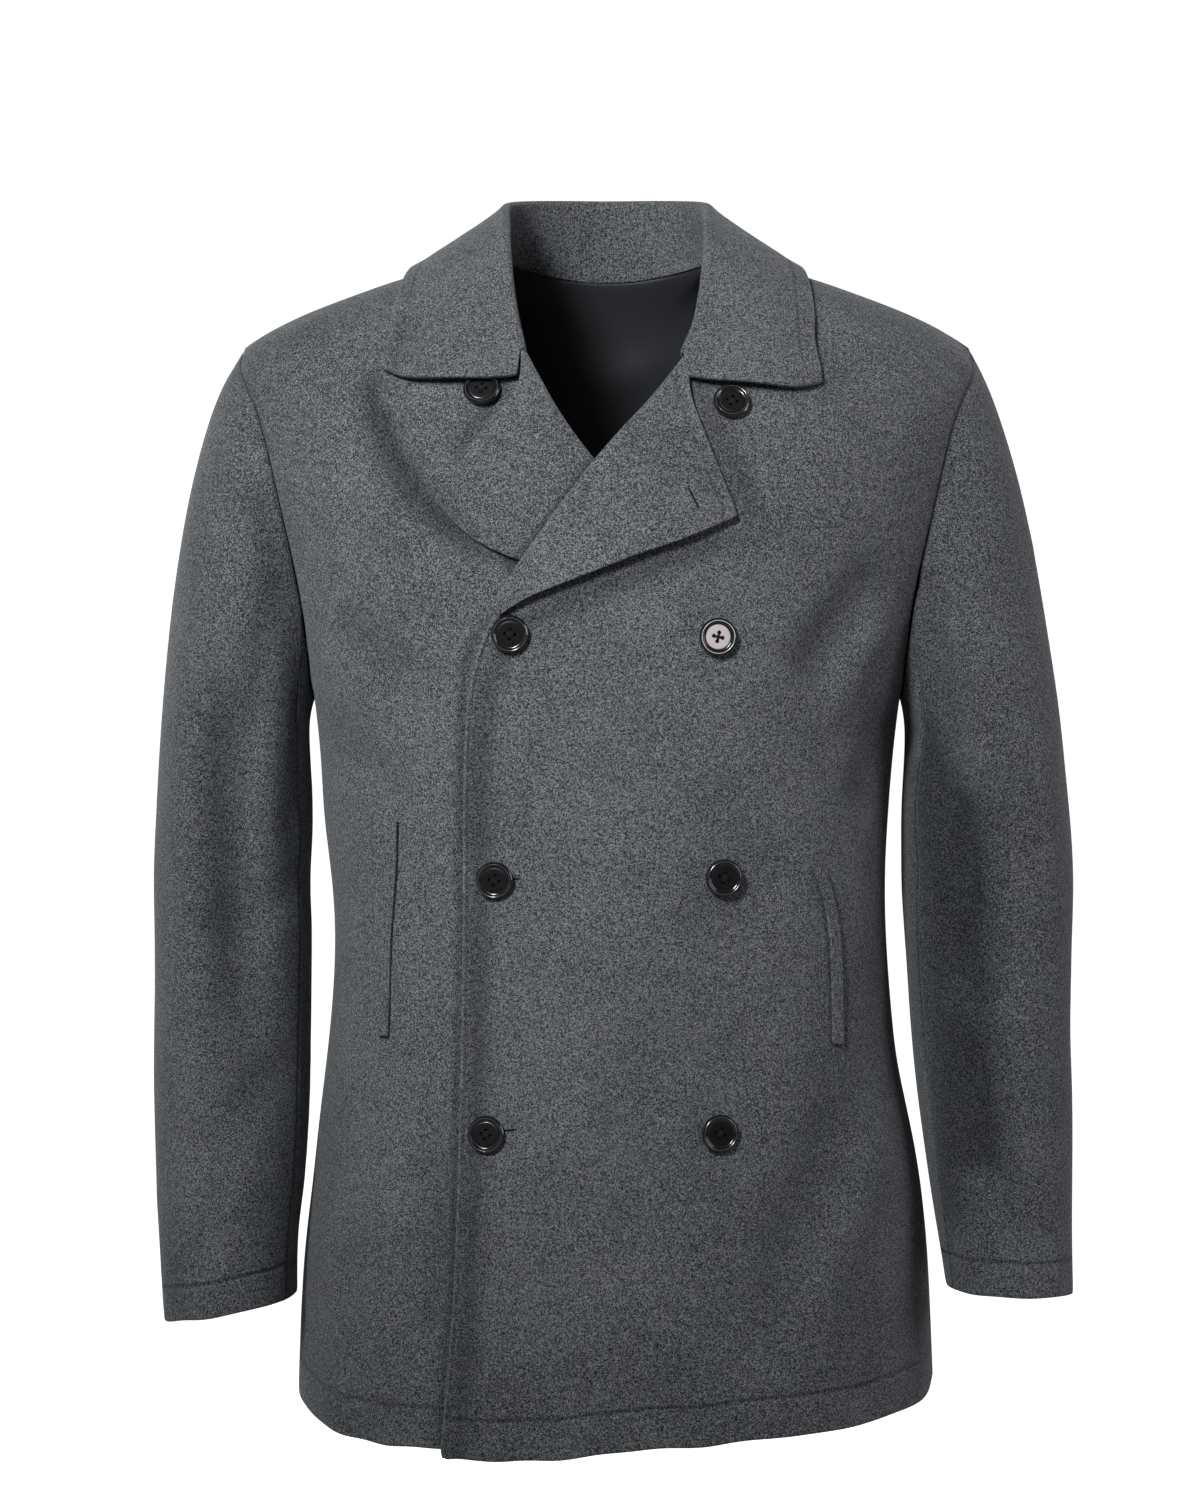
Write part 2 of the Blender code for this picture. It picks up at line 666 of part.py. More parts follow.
def cuff_height(side, angle):
    """Height of the cuff's edge around the sleeve."""
    level, slope = CUFF[side]
    return level + slope * np.cos(angle)


def build_sleeve(side, part):
    """The outer or the inner half of a sleeve, between its forearm seam and its elbow seam."""
    def place(angle, z):
        return sleeve_point(angle, z, side)

    ahead = ARMHOLE[side, -1]
    behind = ARMHOLE[side, 1]
    front_start = ahead[FRONT_SEAM_STEP]
    back_start = behind[BACK_SEAM_STEP]
    front_low, back_low = math.radians(-147), math.radians(120)
    front_seam = rounded([front_start, (math.radians(-141), -330), (front_low, -430),
                          (front_low, cuff_height(side, front_low))])
    back_seam = rounded([back_start, (math.radians(122), -330), (back_low, -430),
                         (back_low, cuff_height(side, back_low))])
    front_seam = eased(place, front_seam, SLEEVE_STEPS, SLEEVE_EASE)
    back_seam = eased(place, back_seam, SLEEVE_STEPS, SLEEVE_EASE)
    ahead_joint, behind_joint = JOINT[side, -1]["sleeve"], JOINT[side, 1]["sleeve"]
    if part == "top":
        first = np.s_[FRONT_SEAM_STEP::-1]
        second = np.s_[1:BACK_SEAM_STEP + 1]
        top = np.concatenate([ahead[first], behind[second]])
        joint = [np.concatenate([a[first], b[second]]) for a, b in zip(ahead_joint, behind_joint)]
        left, right = front_seam, back_seam
    else:
        first = np.s_[BACK_SEAM_STEP:]
        second = np.s_[ARMHOLE_STEPS - 1:FRONT_SEAM_STEP - 1:-1]
        wrapped = ahead[second] + [2 * math.pi, 0]
        top = np.concatenate([behind[first], wrapped])
        joint = [np.concatenate([b[first], a[second]]) for a, b in zip(ahead_joint, behind_joint)]
        left, right = back_seam, front_seam + [2 * math.pi, 0]
    angle = np.linspace(left[-1, 0], right[-1, 0], 60)
    bottom = spread(place, np.stack([angle, cuff_height(side, angle)], axis=-1), len(top) - 1)
    grid = patch(top, bottom, left, right, SLEEVE_EASE)
    angle, z = grid[..., 0], grid[..., 1]
    normal = surface_normal(place, angle, z, SIDE[side])
    depth = sleeve_folds(side, angle, z)
    depth = depth * ramp(np.linspace(0, 5, len(z)))[:, None]
    points = place(angle, z) + depth[..., None] * normal
    inward = SIDE[side] * grid_normal(points)
    inward[:, 0] = normal[:, 0]
    inward[:, -1] = normal[:, -1]
    points = pull_in(points, ("top", "left", "right"))
    inward[0] = joint[0]
    points[0] += joint[1]
    inner = points - CLOTH * inward
    if side == "right":
        points, inner = points[:, ::-1], inner[:, ::-1]
    return wall(f"sleeve_{part}_{side}", points, inner, WOOL)


# ----------------------------------------------------------------------------------- the lapels

LIE_STEPS = 7           # grid steps across the lying part of a lapel
ARC_STEPS = 4           # and round a fold
LIE = LAYER_STEP + 0.8  # outer face of a lapel above the front that it lies on
# Outlines of the lapels, as (x, z): the upper edge from the fold to the corner, and the lower edge.
LAPEL_TOP = {
    "left": [(54, -74), (52, -93), (61, -122), (72, -151), (82, -178)],
    "right": [(-56, -72), (-55.5, -92), (-74, -115), (-99, -147), (-112, -167)],
}
LAPEL_LOW = {
    "left": [(82, -178), (50, -193), (15, -205), (-13, -216), (-37, -225), (-56, -233), (-67, -241)],
    "right": HIDDEN_LAPEL,
}
# Height of each lapel's fold along its length, and how far the free edge stands off the front.
LAPEL_RISE = table("along  fold_left  fold_right  edge_left  edge_right", [
    (0,    6.5,  6.5,  1.5,  1.0),
    (0.3,  6.2,  4.8,  3.0,  0.8),
    (0.5,  5.8,  3.6,  3.5,  0.0),
    (0.8,  4.8,  3.6,  2.5,  0.0),
    (1,    4.2,  3.6,  0.0,  0.0),
])
FOLD_REACH = 28         # how far from its fold a lapel lies down
GORGE_GAP = 1.0         # between a lapel and the collar where both fold over
ACROSS_SHARE = 1.4      # how much wider that is across the fold than along it


def fold_frame(side):
    """The points, normals and directions towards the neck's opening along a lapel's fold."""
    path = spread(body_point, on_front(ROLL[side]), ROLL_STEPS)
    normal = surface_normal(body_point, path[:, 0], path[:, 1])
    point = panel_point(path[:, 0], path[:, 1], side)
    along = unit(np.gradient(point, axis=0))
    opening = -SIDE[side] * unit(np.cross(normal, along))
    return path, point, normal, opening


def gorge_opening(side):
    """The direction that the lapel and the collar share at the top of the lapel's fold."""
    _, point, normal, opening = fold_frame(side)
    neck = neckline(side)
    first = panel_point(neck[:2, 0], neck[:2, 1], side)
    along = unit(first[1] - first[0])
    return unit(opening[0] + SIDE[side] * np.cross(normal[0], along))


def gorge_shift(side, turn, count, wait):
    """How a lapel's upper end moves off the collar's, point by point: along the fold, then across."""
    _, _, normal, _ = fold_frame(side)
    opening = gorge_opening(side)
    along = SIDE[side] * np.cross(normal[0], opening)
    across = np.clip((np.arange(count) - wait) / turn, 0, 1)
    return GORGE_GAP / 2 * (along + ACROSS_SHARE * across[:, None] * opening)


def build_lapel(side):
    """A turned-back lapel: a round fold, and a flap that lies on the front."""
    fold, point, normal, opening = fold_frame(side)
    opening[0] = gorge_opening(side)
    top = spread(body_point, on_front(LAPEL_TOP[side]), LIE_STEPS)
    low = spread(body_point, on_front(LAPEL_LOW[side]), ROLL_STEPS)
    bottom = spread(body_point, [fold[-1], low[-1]], LIE_STEPS)
    grid = patch(top, bottom, fold, low)
    along = np.linspace(0, 1, ROLL_STEPS + 1)
    fold_height = curve(LAPEL_RISE, "fold_" + side, along, key="along")
    edge_height = curve(LAPEL_RISE, "edge_" + side, along, key="along")
    base = panel_point(grid[..., 0], grid[..., 1], side)
    out = surface_normal(body_point, grid[..., 0], grid[..., 1])
    away = np.linalg.norm(base - base[:, :1], axis=-1)
    share = away / np.maximum(away[:, -1:], 1)
    height = (LIE + (fold_height[:, None] - LIE) * (1 - ramp(away / FOLD_REACH))
              + edge_height[:, None] * share ** 2)
    flap = base + height[..., None] * out
    flap_inner = flap - CLOTH * out
    radius = (fold_height + CLOTH) / 2
    centre = point + (radius - CLOTH)[:, None] * normal
    swing = np.radians(np.linspace(-90, 90, ARC_STEPS + 1))[:-1]
    spoke = (np.cos(swing)[None, :, None] * opening[:, None]
             + np.sin(swing)[None, :, None] * normal[:, None])
    bend = centre[:, None] + radius[:, None, None] * spoke
    bend_inner = centre[:, None] + (radius - CLOTH)[:, None, None] * spoke
    start = SEAM_GAP / 2 * opening
    bend[:, 0] += start
    bend_inner[:, 0] += start
    outer = np.concatenate([bend, flap], axis=1)
    inner = np.concatenate([bend_inner, flap_inner], axis=1)
    apart = gorge_shift(side, ARC_STEPS, ARC_STEPS + LIE_STEPS + 1, 0)
    outer[0] += apart
    inner[0] += apart
    if side == "right":
        outer, inner = outer[:, ::-1], inner[:, ::-1]
    return wall("lapel_" + side, outer, inner, WOOL)


# ------------------------------------------------------------------------------------ the collar

FALL_STEPS = 6          # grid steps down the collar's fall
STAND_STEPS = 2         # and up its stand
FOLD_RADIUS = 4.5       # outer radius of the collar's fold
END_STAND = 1.5         # height of the stand at the collar's front ends
COLLAR_REST = 4.4       # outer face of the fall above the cloth that it lies on
RIDGE_REST = 2.5        # how much more that is on the ridge of the shoulders
COLLAR_SPREAD = {"left": (-4.5, -5.0), "right": (4.5, 5.0)}     # how the two points differ
RIDGE_REACH = 25        # and how far to the front and back of the ridge
BUTTON_PLACE = 79       # from the middle to the top buttons, which the collar clears
BUTTON_TOP = -66        # height at which the collar starts to rise over them
BUTTON_REACH = 21       # how far beside a button it rises
BUTTON_REST = 5         # and by how much
FALL_BOW = 5            # how far the fall curves out between its fold and its edge
FRONT_SHARE = 0.3       # share of the half collar over which its fold moves to the lapel's
END_SHARE = 0.34        # and over which its fall follows the front end
EDGE_SHARE = 0.5        # and over which its two points differ
# One half of the collar: its upper fold and its outer edge, from the front end to the middle back.
COLLAR_FOLD = table("along x     y    z", [
    (0,    50,    -97, -70),
    (0.1,  57,    -88, -47),
    (0.2,  60.5,  -77, -26),
    (0.3,  64,    -62, 1),
    (0.4,  66.5,  -41, 22),
    (0.54, 67.5,  -4,  38),
    (0.72, 61,    33,  46),
    (0.86, 36,    57,  50),
    (1,    0,     68,  51),
])
COLLAR_EDGE = table("along x    y    z", [
    (0,    142, -95, -86),
    (0.12, 139, -84, -70),
    (0.25, 133, -60, -48),
    (0.38, 128, -32, -22),
    (0.5,  122, 0,   -8),
    (0.64, 112, 38,  -16),
    (0.78, 84,  66,  -25),
    (0.9,  45,  84,  -30),
    (1,    0,   91,  -32),
])
# The collar's front end, from the top of the lapel's fold to the point.
COLLAR_END = table("along  x      z     height", [
    (0,    54,   -74,   6.5),
    (0.2,  58, -91,   8.0),
    (0.45, 84,   -93,   10),
    (0.75, 116,  -93,   7.0),
    (0.93, 136,  -91.5, 4.6),
    (1,    142,  -86,   COLLAR_REST),
])


def half_turn(rows, side, along):
    """Points of a half of the collar, on its own side."""
    x, y, z = (curve(rows, name, along, key="along") for name in "xyz")
    return np.stack([SIDE[side] * x, y, z], axis=-1)


def half_collar(side):
    """Outer and inner points of half the collar: a row for each step, a column for each station."""
    neck = neckline(side)
    behind = np.radians(BACK_NECKLINE["angle"])
    back = spread(body_point, rounded(np.stack([behind, BACK_NECKLINE["z"]], axis=-1)), BACK_NECK_STEPS)
    half = BACK_NECK_STEPS // 2
    if side == "left":
        path = joined(neck, back[:half + 1])
    else:
        path = joined(neck, back[:half - 1:-1])
    foot = panel_point(path[:, 0], path[:, 1], None)
    normal = surface_normal(body_point, path[:, 0], path[:, 1])
    heading = unit(np.gradient(foot, axis=0))
    opening = SIDE[side] * unit(np.cross(normal, heading))
    opening[0] = gorge_opening(side)
    run = np.concatenate([[0], np.cumsum(np.linalg.norm(np.diff(foot, axis=0), axis=1))])
    along = run / run[-1]

    near_front = 1 - ramp(along / FRONT_SHARE)
    crest = half_turn(COLLAR_FOLD, side, along)
    first = foot[0] + (FOLD_RADIUS + END_STAND) * opening[0] + (FOLD_RADIUS - CLOTH) * normal[0]
    crest = crest + near_front[:, None] * (first - crest[0])
    up = unit(crest - foot)
    heading = unit(np.gradient(crest, axis=0))
    out = -SIDE[side] * unit(np.cross(up, heading))
    up[0], out[0] = opening[0], normal[0]
    centre = crest - FOLD_RADIUS * up

    swing = np.radians(np.linspace(180, 0, ARC_STEPS + 1))[:, None, None]
    spoke = np.cos(swing) * out[None] + np.sin(swing) * up[None]
    bend = centre[None] + FOLD_RADIUS * spoke
    bend_inner = centre[None] + (FOLD_RADIUS - COLLAR_CLOTH) * spoke

    seam = SEAM_GAP * opening
    low, low_inner = foot - CLOTH * normal + seam, foot + seam
    share = (np.arange(STAND_STEPS) / STAND_STEPS)[:, None, None]
    stand = low[None] * (1 - share) + bend[:1] * share
    stand_inner = low_inner[None] * (1 - share) + bend_inner[:1] * share

    spread_x, spread_z = COLLAR_SPREAD[side]
    rim_points = half_turn(COLLAR_EDGE, side, along)
    shift = (1 - ramp(along / EDGE_SHARE))[:, None] * np.array([SIDE[side] * spread_x, 0, spread_z])
    over_ridge = RIDGE_REST * np.exp(-(rim_points[:, 1] / RIDGE_REACH) ** 2)
    rim_points = above_body(rim_points + shift, COLLAR_REST + over_ridge, exact=True)
    q = (np.arange(1, FALL_STEPS + 1) / FALL_STEPS)[:, None, None]
    bow = (bend[-1] + rim_points) / 2 + FALL_BOW * out
    fall = (1 - q) ** 2 * bend[-1][None] + 2 * q * (1 - q) * bow[None] + q ** 2 * rim_points[None]
    steps = q[:, 0, 0]
    end_x = curve(COLLAR_END, "x", steps, key="along") + spread_x * ramp((steps - 0.2) / 0.8)
    end_z = curve(COLLAR_END, "z", steps, key="along") + spread_z * steps ** 2
    end_angle = front_angle(SIDE[side] * end_x, end_z)
    end_height = curve(COLLAR_END, "height", steps, key="along")
    end_row = (body_point(end_angle, end_z)
               + end_height[:, None] * surface_normal(body_point, end_angle, end_z))
    fall = fall + (1 - ramp(along / END_SHARE))[None, :, None] * (end_row - fall[:, 0])[:, None]
    over_button = (np.exp(-((np.abs(fall[..., 0]) - BUTTON_PLACE) / BUTTON_REACH) ** 2)
                   * ramp((BUTTON_TOP - fall[..., 2]) / BUTTON_REACH))
    over_ridge = np.exp(-(fall[..., 1] / RIDGE_REACH) ** 2)
    rest = COLLAR_REST + BUTTON_REST * over_button + RIDGE_REST * over_ridge
    fall = above_body(fall, rest)
    outer = np.concatenate([stand, bend, fall])
    inner = np.concatenate([stand_inner, bend_inner])
    return outer, inner


def build_collar():
    """The collar: a stand on the neckline, a round fold, and the fall over the shoulders."""
    left, left_inner = half_collar("left")
    right, right_inner = half_collar("right")
    outer = np.concatenate([left, right[:, -2::-1]], axis=1)
    inner = np.concatenate([left_inner, right_inner[:, -2::-1]], axis=1)
    fall = outer[len(inner):]
    inward = grid_normal(outer)[len(inner):]
    for end in (0, -1):
        angle = np.arctan2(fall[:, end, 1], fall[:, end, 0])
        inward[:, end] = surface_normal(body_point, angle, fall[:, end, 2])
    inner = np.concatenate([inner, fall - COLLAR_CLOTH * inward])
    for end, side in ((0, "left"), (-1, "right")):
        apart = gorge_shift(side, ARC_STEPS, len(outer), STAND_STEPS)
        outer[:, end] -= apart
        inner[:, end] -= apart
    return wall("collar", outer, inner, WOOL)


# ----------------------------------------------------------------------- pocket welts and buttons

WELT_WIDTH = 7
WELT_CLOTH = 2.0
WELT_STEPS = 14         # grid steps along a welt
WELT_GAP = 0.45         # room between a welt and the front, over the facets between the steps
# The free edge of each pocket welt, as (x, z) from its top to its bottom.
WELT_LINE = {
    "left": [(138, -400), (145, -424), (149, -455), (150, -513)],
    "right": [(-140, -370), (-141, -405), (-144, -440), (-146, -508)],
}
BUTTON_RADIUS = 12
BUTTON_RISE = 4.2
# Half the section of a button, from the middle of its back to the middle of its dished front.
BUTTON_SECTION = [(0, 0), (10.6, 0), (BUTTON_RADIUS, 1.3), (BUTTON_RADIUS, 2.8), (11.2, 3.8),
                  (10.0, BUTTON_RISE), (8.8, 3.9), (7.7, 3.1), (0, 2.8)]
BUTTON_SIDES = 20
BUTTONS = [
    # name, front, x, z, tilt to the side, tilt down (degrees)
    ("button_top_right", "front_right", -80, -95.5, 0, 0),
    ("button_top_left", "front_left", 79, -104, 0, 0),
    ("button_upper_right", "front_left", -61, -252, 3, 4),
    ("button_upper_left", "front_left", 69, -254, -2, 0),
    ("button_middle_right", "front_left", -70.5, -407, 0, 2),
    ("button_middle_left", "front_left", 73, -405.5, 0, 0),
    ("button_lower_right", "front_left", -76, -567, 0, 0),
    ("button_lower_left", "front_left", 70, -566, 4, 3),
]


def outer_face(made):
    """A search tree of an object's faces, to lay things on."""
    mesh = made.data
    mesh.calc_loop_triangles()
    return BVHTree.FromPolygons([v.co.copy() for v in mesh.vertices],
                                [tuple(face.vertices) for face in mesh.loop_triangles])


def ahead_of(tree, x, z):
    """Where a line from ahead meets the cloth, and the cloth's direction there."""
    place, normal, _, _ = tree.ray_cast(Vector((x * MM, -1, z * MM)), Vector((0, 1, 0)))
    return np.array(place) / MM, np.array(normal)


def build_welt(side, tree):
    """A narrow pocket welt, sewn to the front along one side."""
    line = rounded(WELT_LINE[side], WELT_STEPS + 1)
    across = np.array([0, 0.5, 1]) * WELT_WIDTH
    if side == "right":
        across = -across[::-1]
    hits = [[ahead_of(tree, x - step, z) for step in across[::-1]] for x, z in line]
    points = np.array([[place for place, _ in row] for row in hits])
    normal = grid_normal(points)
    inner = points + WELT_GAP * normal
    return wall("pocket_welt_" + side, inner + WELT_CLOTH * normal, inner, WOOL)


def build_button(name, tree, x, z, sideways, down):
    """A round button with a raised rim, turned and set on the cloth."""
    rays = [(0, 0)] + [(share * BUTTON_RADIUS * math.cos(a), share * BUTTON_RADIUS * math.sin(a))
                       for share in (0.3, 0.6, 1)
                       for a in np.linspace(0, 2 * math.pi, 12, endpoint=False)]
    hits = [ahead_of(tree, x + dx, z + dz) for dx, dz in rays]
    normal = Vector(unit(np.mean([direction for _, direction in hits], axis=0)))
    facing = normal.to_track_quat("Z", "Y").to_matrix()
    middle = hits[0][0]
    high = max(float(np.dot(place - middle, normal)) for place, _ in hits)
    lean = Vector((math.radians(sideways), math.radians(down), 0)).length
    lift = high + SEAM_GAP + BUTTON_RADIUS * math.sin(lean)

    bm = bmesh.new()
    section = [bm.verts.new((r * MM, 0, h * MM)) for r, h in BUTTON_SECTION]
    edges = [bm.edges.new(pair) for pair in zip(section, section[1:])]
    bmesh.ops.spin(bm, geom=section + edges, cent=(0, 0, 0), axis=(0, 0, 1), angle=2 * math.pi,
                   steps=BUTTON_SIDES, use_merge=True)
    bmesh.ops.remove_doubles(bm, verts=bm.verts, dist=0.01 * MM)
    bmesh.ops.recalc_face_normals(bm, faces=bm.faces)
    mesh = bpy.data.meshes.new(name)
    bm.to_mesh(mesh)
    bm.free()
    shade(mesh)
    mesh.materials.append(BUTTON_BLACK)
    made = bpy.data.objects.new(name, mesh)
    bpy.context.collection.objects.link(made)
    made.location = Vector(middle * MM) + lift * MM * normal
    made.rotation_euler = facing.to_euler()
    made.rotation_euler.rotate_axis("Y", math.radians(sideways))
    made.rotation_euler.rotate_axis("X", math.radians(down))
    return made


def build_coat():
    """All the pieces of the coat, from the back to the buttons."""
    for old in list(bpy.data.objects):
        bpy.data.objects.remove(old)
    build_back()
    fronts = {"front_" + side: build_front(side) for side in SIDE}
    trees = {name: outer_face(made) for name, made in fronts.items()}
    for side in SIDE:
        build_lapel(side)
        for part in ("top", "under"):
            build_sleeve(side, part)
        build_welt(side, trees["front_" + side])
    build_collar()
    for name, front, x, z, sideways, down in BUTTONS:
        build_button(name, trees[front], x, z, sideways, down)


build_coat()
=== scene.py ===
import math
import bmesh
import bpy
import numpy as np
from mathutils import Matrix, Vector
from mathutils.kdtree import KDTree


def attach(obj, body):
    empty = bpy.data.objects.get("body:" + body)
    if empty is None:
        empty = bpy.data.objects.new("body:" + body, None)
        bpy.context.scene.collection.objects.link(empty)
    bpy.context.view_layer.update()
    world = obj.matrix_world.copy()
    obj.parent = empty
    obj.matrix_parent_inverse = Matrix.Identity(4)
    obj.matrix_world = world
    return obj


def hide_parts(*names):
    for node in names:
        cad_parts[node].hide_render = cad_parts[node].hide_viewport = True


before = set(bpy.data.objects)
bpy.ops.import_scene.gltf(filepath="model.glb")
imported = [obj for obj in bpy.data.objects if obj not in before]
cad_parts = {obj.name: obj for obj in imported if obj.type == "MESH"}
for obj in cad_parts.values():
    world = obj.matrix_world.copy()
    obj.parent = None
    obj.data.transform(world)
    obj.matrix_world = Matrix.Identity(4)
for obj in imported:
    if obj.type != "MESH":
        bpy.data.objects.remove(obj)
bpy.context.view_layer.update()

# ---- The back
# One wide panel of melton, a dense felted wool, cut from the shoulder seams to the hem. It is sewn to
# the fronts down both sides and to the sleeves round the armholes, and its hem is turned up inside.


def put(name, data):
    """A new object in the scene, with its mesh, lamp or camera."""
    made = bpy.data.objects.new(name, data)
    bpy.context.scene.collection.objects.link(made)
    return made


def mesh_from(bm, name):
    mesh = bpy.data.meshes.new(name)
    bm.to_mesh(mesh)
    bm.free()
    return mesh


def nearest_among(spots):
    """A search tree that finds the nearest of some points."""
    tree = KDTree(len(spots))
    for place, spot in enumerate(spots):
        tree.insert(spot, place)
    tree.balance()
    return tree


def socket(group, name, kind, way="INPUT", value=None):
    made = group.interface.new_socket(name, in_out=way, socket_type="NodeSocket" + kind)
    if value is not None:
        made.default_value = value


def material(name, **settings):
    """A new material, its node tree and its shader, with the given values on the shader's sockets."""
    made = bpy.data.materials.new(name)
    made.use_nodes = True
    shader = made.node_tree.nodes["Principled BSDF"]
    for key, value in settings.items():
        shader.inputs[key.replace("_", " ")].default_value = value
    return made, made.node_tree, shader


def node(tree, kind, **settings):
    """A shader node. Settings that start with in_ are the values of its input sockets."""
    made = tree.nodes.new("ShaderNode" + kind)
    for key, value in settings.items():
        if key.startswith("in_"):
            made.inputs[key[3:].replace("_", " ")].default_value = value
        else:
            setattr(made, key, value)
    return made


def maths(tree, operation, first, second=None, clamp=False):
    made = node(tree, "Math", operation=operation, use_clamp=clamp)
    for place, value in enumerate((first, second)):
        if isinstance(value, (int, float)):
            made.inputs[place].default_value = value
        elif value is not None:
            tree.links.new(value, made.inputs[place])
    return made.outputs[0]


def weighted(tree, *shares):
    """The sum of some values, each times its weight."""
    total = None
    for value, weight in shares:
        part = maths(tree, "MULTIPLY", value, weight)
        total = part if total is None else maths(tree, "ADD", total, part)
    return total


def blend(tree, share, first, second, kind="MIX"):
    """A colour between two others. Each of the three is a socket or a fixed value."""
    made = node(tree, "Mix", data_type="RGBA", blend_type=kind)
    for inlet, value in (("Factor", share), ("A", first), ("B", second)):
        if isinstance(value, float):
            made.inputs[inlet].default_value = value
        elif isinstance(value, tuple):
            made.inputs[inlet].default_value = (*value, 1)
        else:
            tree.links.new(value, made.inputs[inlet])
    return made.outputs["Result"]


def relief(tree, height, strength, distance, over=None, sunk=False):
    """Fine relief from a height, over another relief if one is given."""
    made = node(tree, "Bump", in_Strength=strength, in_Distance=distance, invert=sunk)
    tree.links.new(height, made.inputs["Height"])
    if over:
        tree.links.new(over, made.inputs["Normal"])
    return made.outputs["Normal"]


def stored(tree, attribute):
    """A value that the mesh itself stores at its points."""
    return node(tree, "Attribute", attribute_type="GEOMETRY", attribute_name=attribute).outputs["Fac"]


def falling(tree, value, reach):
    """1 where a value is 0, falling softly to 0 at its reach."""
    made = node(tree, "MapRange", interpolation_type="SMOOTHSTEP", in_From_Min=0.0, in_From_Max=reach,
                in_To_Min=1.0, in_To_Max=0.0)
    tree.links.new(value, made.inputs["Value"])
    return made.outputs[0]


def heather_group():
    """Melton's face: fibres of several greys felted together, with soft cloudy patches."""
    group = bpy.data.node_groups.new("heathered_wool", "ShaderNodeTree")
    for name, value in (("Dark fibre", (0.02, 0.02, 0.02, 1)), ("Light fibre", (0.3, 0.3, 0.3, 1))):
        socket(group, name, "Color", value=value)
    for name, value in (("Fibre size", 0.0011), ("Contrast", 1.0), ("Cloud", 0.2)):
        socket(group, name, "Float", value=value)
    socket(group, "Position", "Vector")
    socket(group, "Color", "Color", "OUTPUT")
    socket(group, "Height", "Float", "OUTPUT")
    socket(group, "Roughness", "Float", "OUTPUT")
    inlet = group.nodes.new("NodeGroupInput").outputs
    outlet = group.nodes.new("NodeGroupOutput").inputs
    fineness = maths(group, "DIVIDE", 1.0, inlet["Fibre size"])

    def noise(scale, detail, distortion, rough, offset=0.0):
        """Noise at a share of the fibres' fineness, moved aside so that no two noises agree."""
        place = node(group, "VectorMath", operation="ADD")
        group.links.new(inlet["Position"], place.inputs[0])
        place.inputs[1].default_value = (offset, 0.37 * offset, -0.61 * offset)
        made = node(group, "TexNoise", in_Detail=detail, in_Distortion=distortion, in_Roughness=rough)
        group.links.new(place.outputs[0], made.inputs["Vector"])
        group.links.new(maths(group, "MULTIPLY", fineness, scale), made.inputs["Scale"])
        return made.outputs["Fac"]

    hair = noise(scale=1.5, detail=2.0, distortion=1.0, rough=0.6)
    tuft = noise(scale=0.8, detail=1.0, distortion=1.4, rough=0.5, offset=3.1)
    speck = noise(scale=2.6, detail=1.0, distortion=0.6, rough=0.5, offset=7.7)
    cloud = noise(scale=0.022, detail=3.0, distortion=0.6, rough=0.55, offset=1.3)
    broad = noise(scale=0.0045, detail=2.0, distortion=0.2, rough=0.5, offset=5.9)
    dye_patch = noise(scale=0.05, detail=2.0, distortion=0.8, rough=0.6, offset=9.3)

    felted = weighted(group, (hair, 0.58), (tuft, 0.22), (speck, 0.20))
    strong = maths(group, "MULTIPLY", maths(group, "SUBTRACT", felted, 0.5), inlet["Contrast"])
    drift = maths(group, "SUBTRACT", maths(group, "ADD", cloud, broad), 1.0)
    strong = maths(group, "ADD", strong, maths(group, "MULTIPLY", drift, inlet["Cloud"]))
    dark_weight = 1.9  # above 1, more of the fibres are dark than light
    light_share = maths(group, "POWER", maths(group, "ADD", strong, 0.5, clamp=True), dark_weight)
    fibre = blend(group, light_share, inlet["Dark fibre"], inlet["Light fibre"])
    dye_share = maths(group, "ADD", maths(group, "MULTIPLY", dye_patch, 5.0), -2.0, clamp=True)
    greener, redder = (0.965, 1.0, 1.0), (1.0, 0.965, 0.99)
    dye = blend(group, dye_share, greener, redder)
    group.links.new(blend(group, 1.0, fibre, dye, "MULTIPLY"), outlet["Color"])
    group.links.new(weighted(group, (hair, 0.6), (tuft, 0.4)), outlet["Height"])
    matt = maths(group, "ADD", maths(group, "MULTIPLY", felted, 0.16), 0.82)
    group.links.new(matt, outlet["Roughness"])
    return group


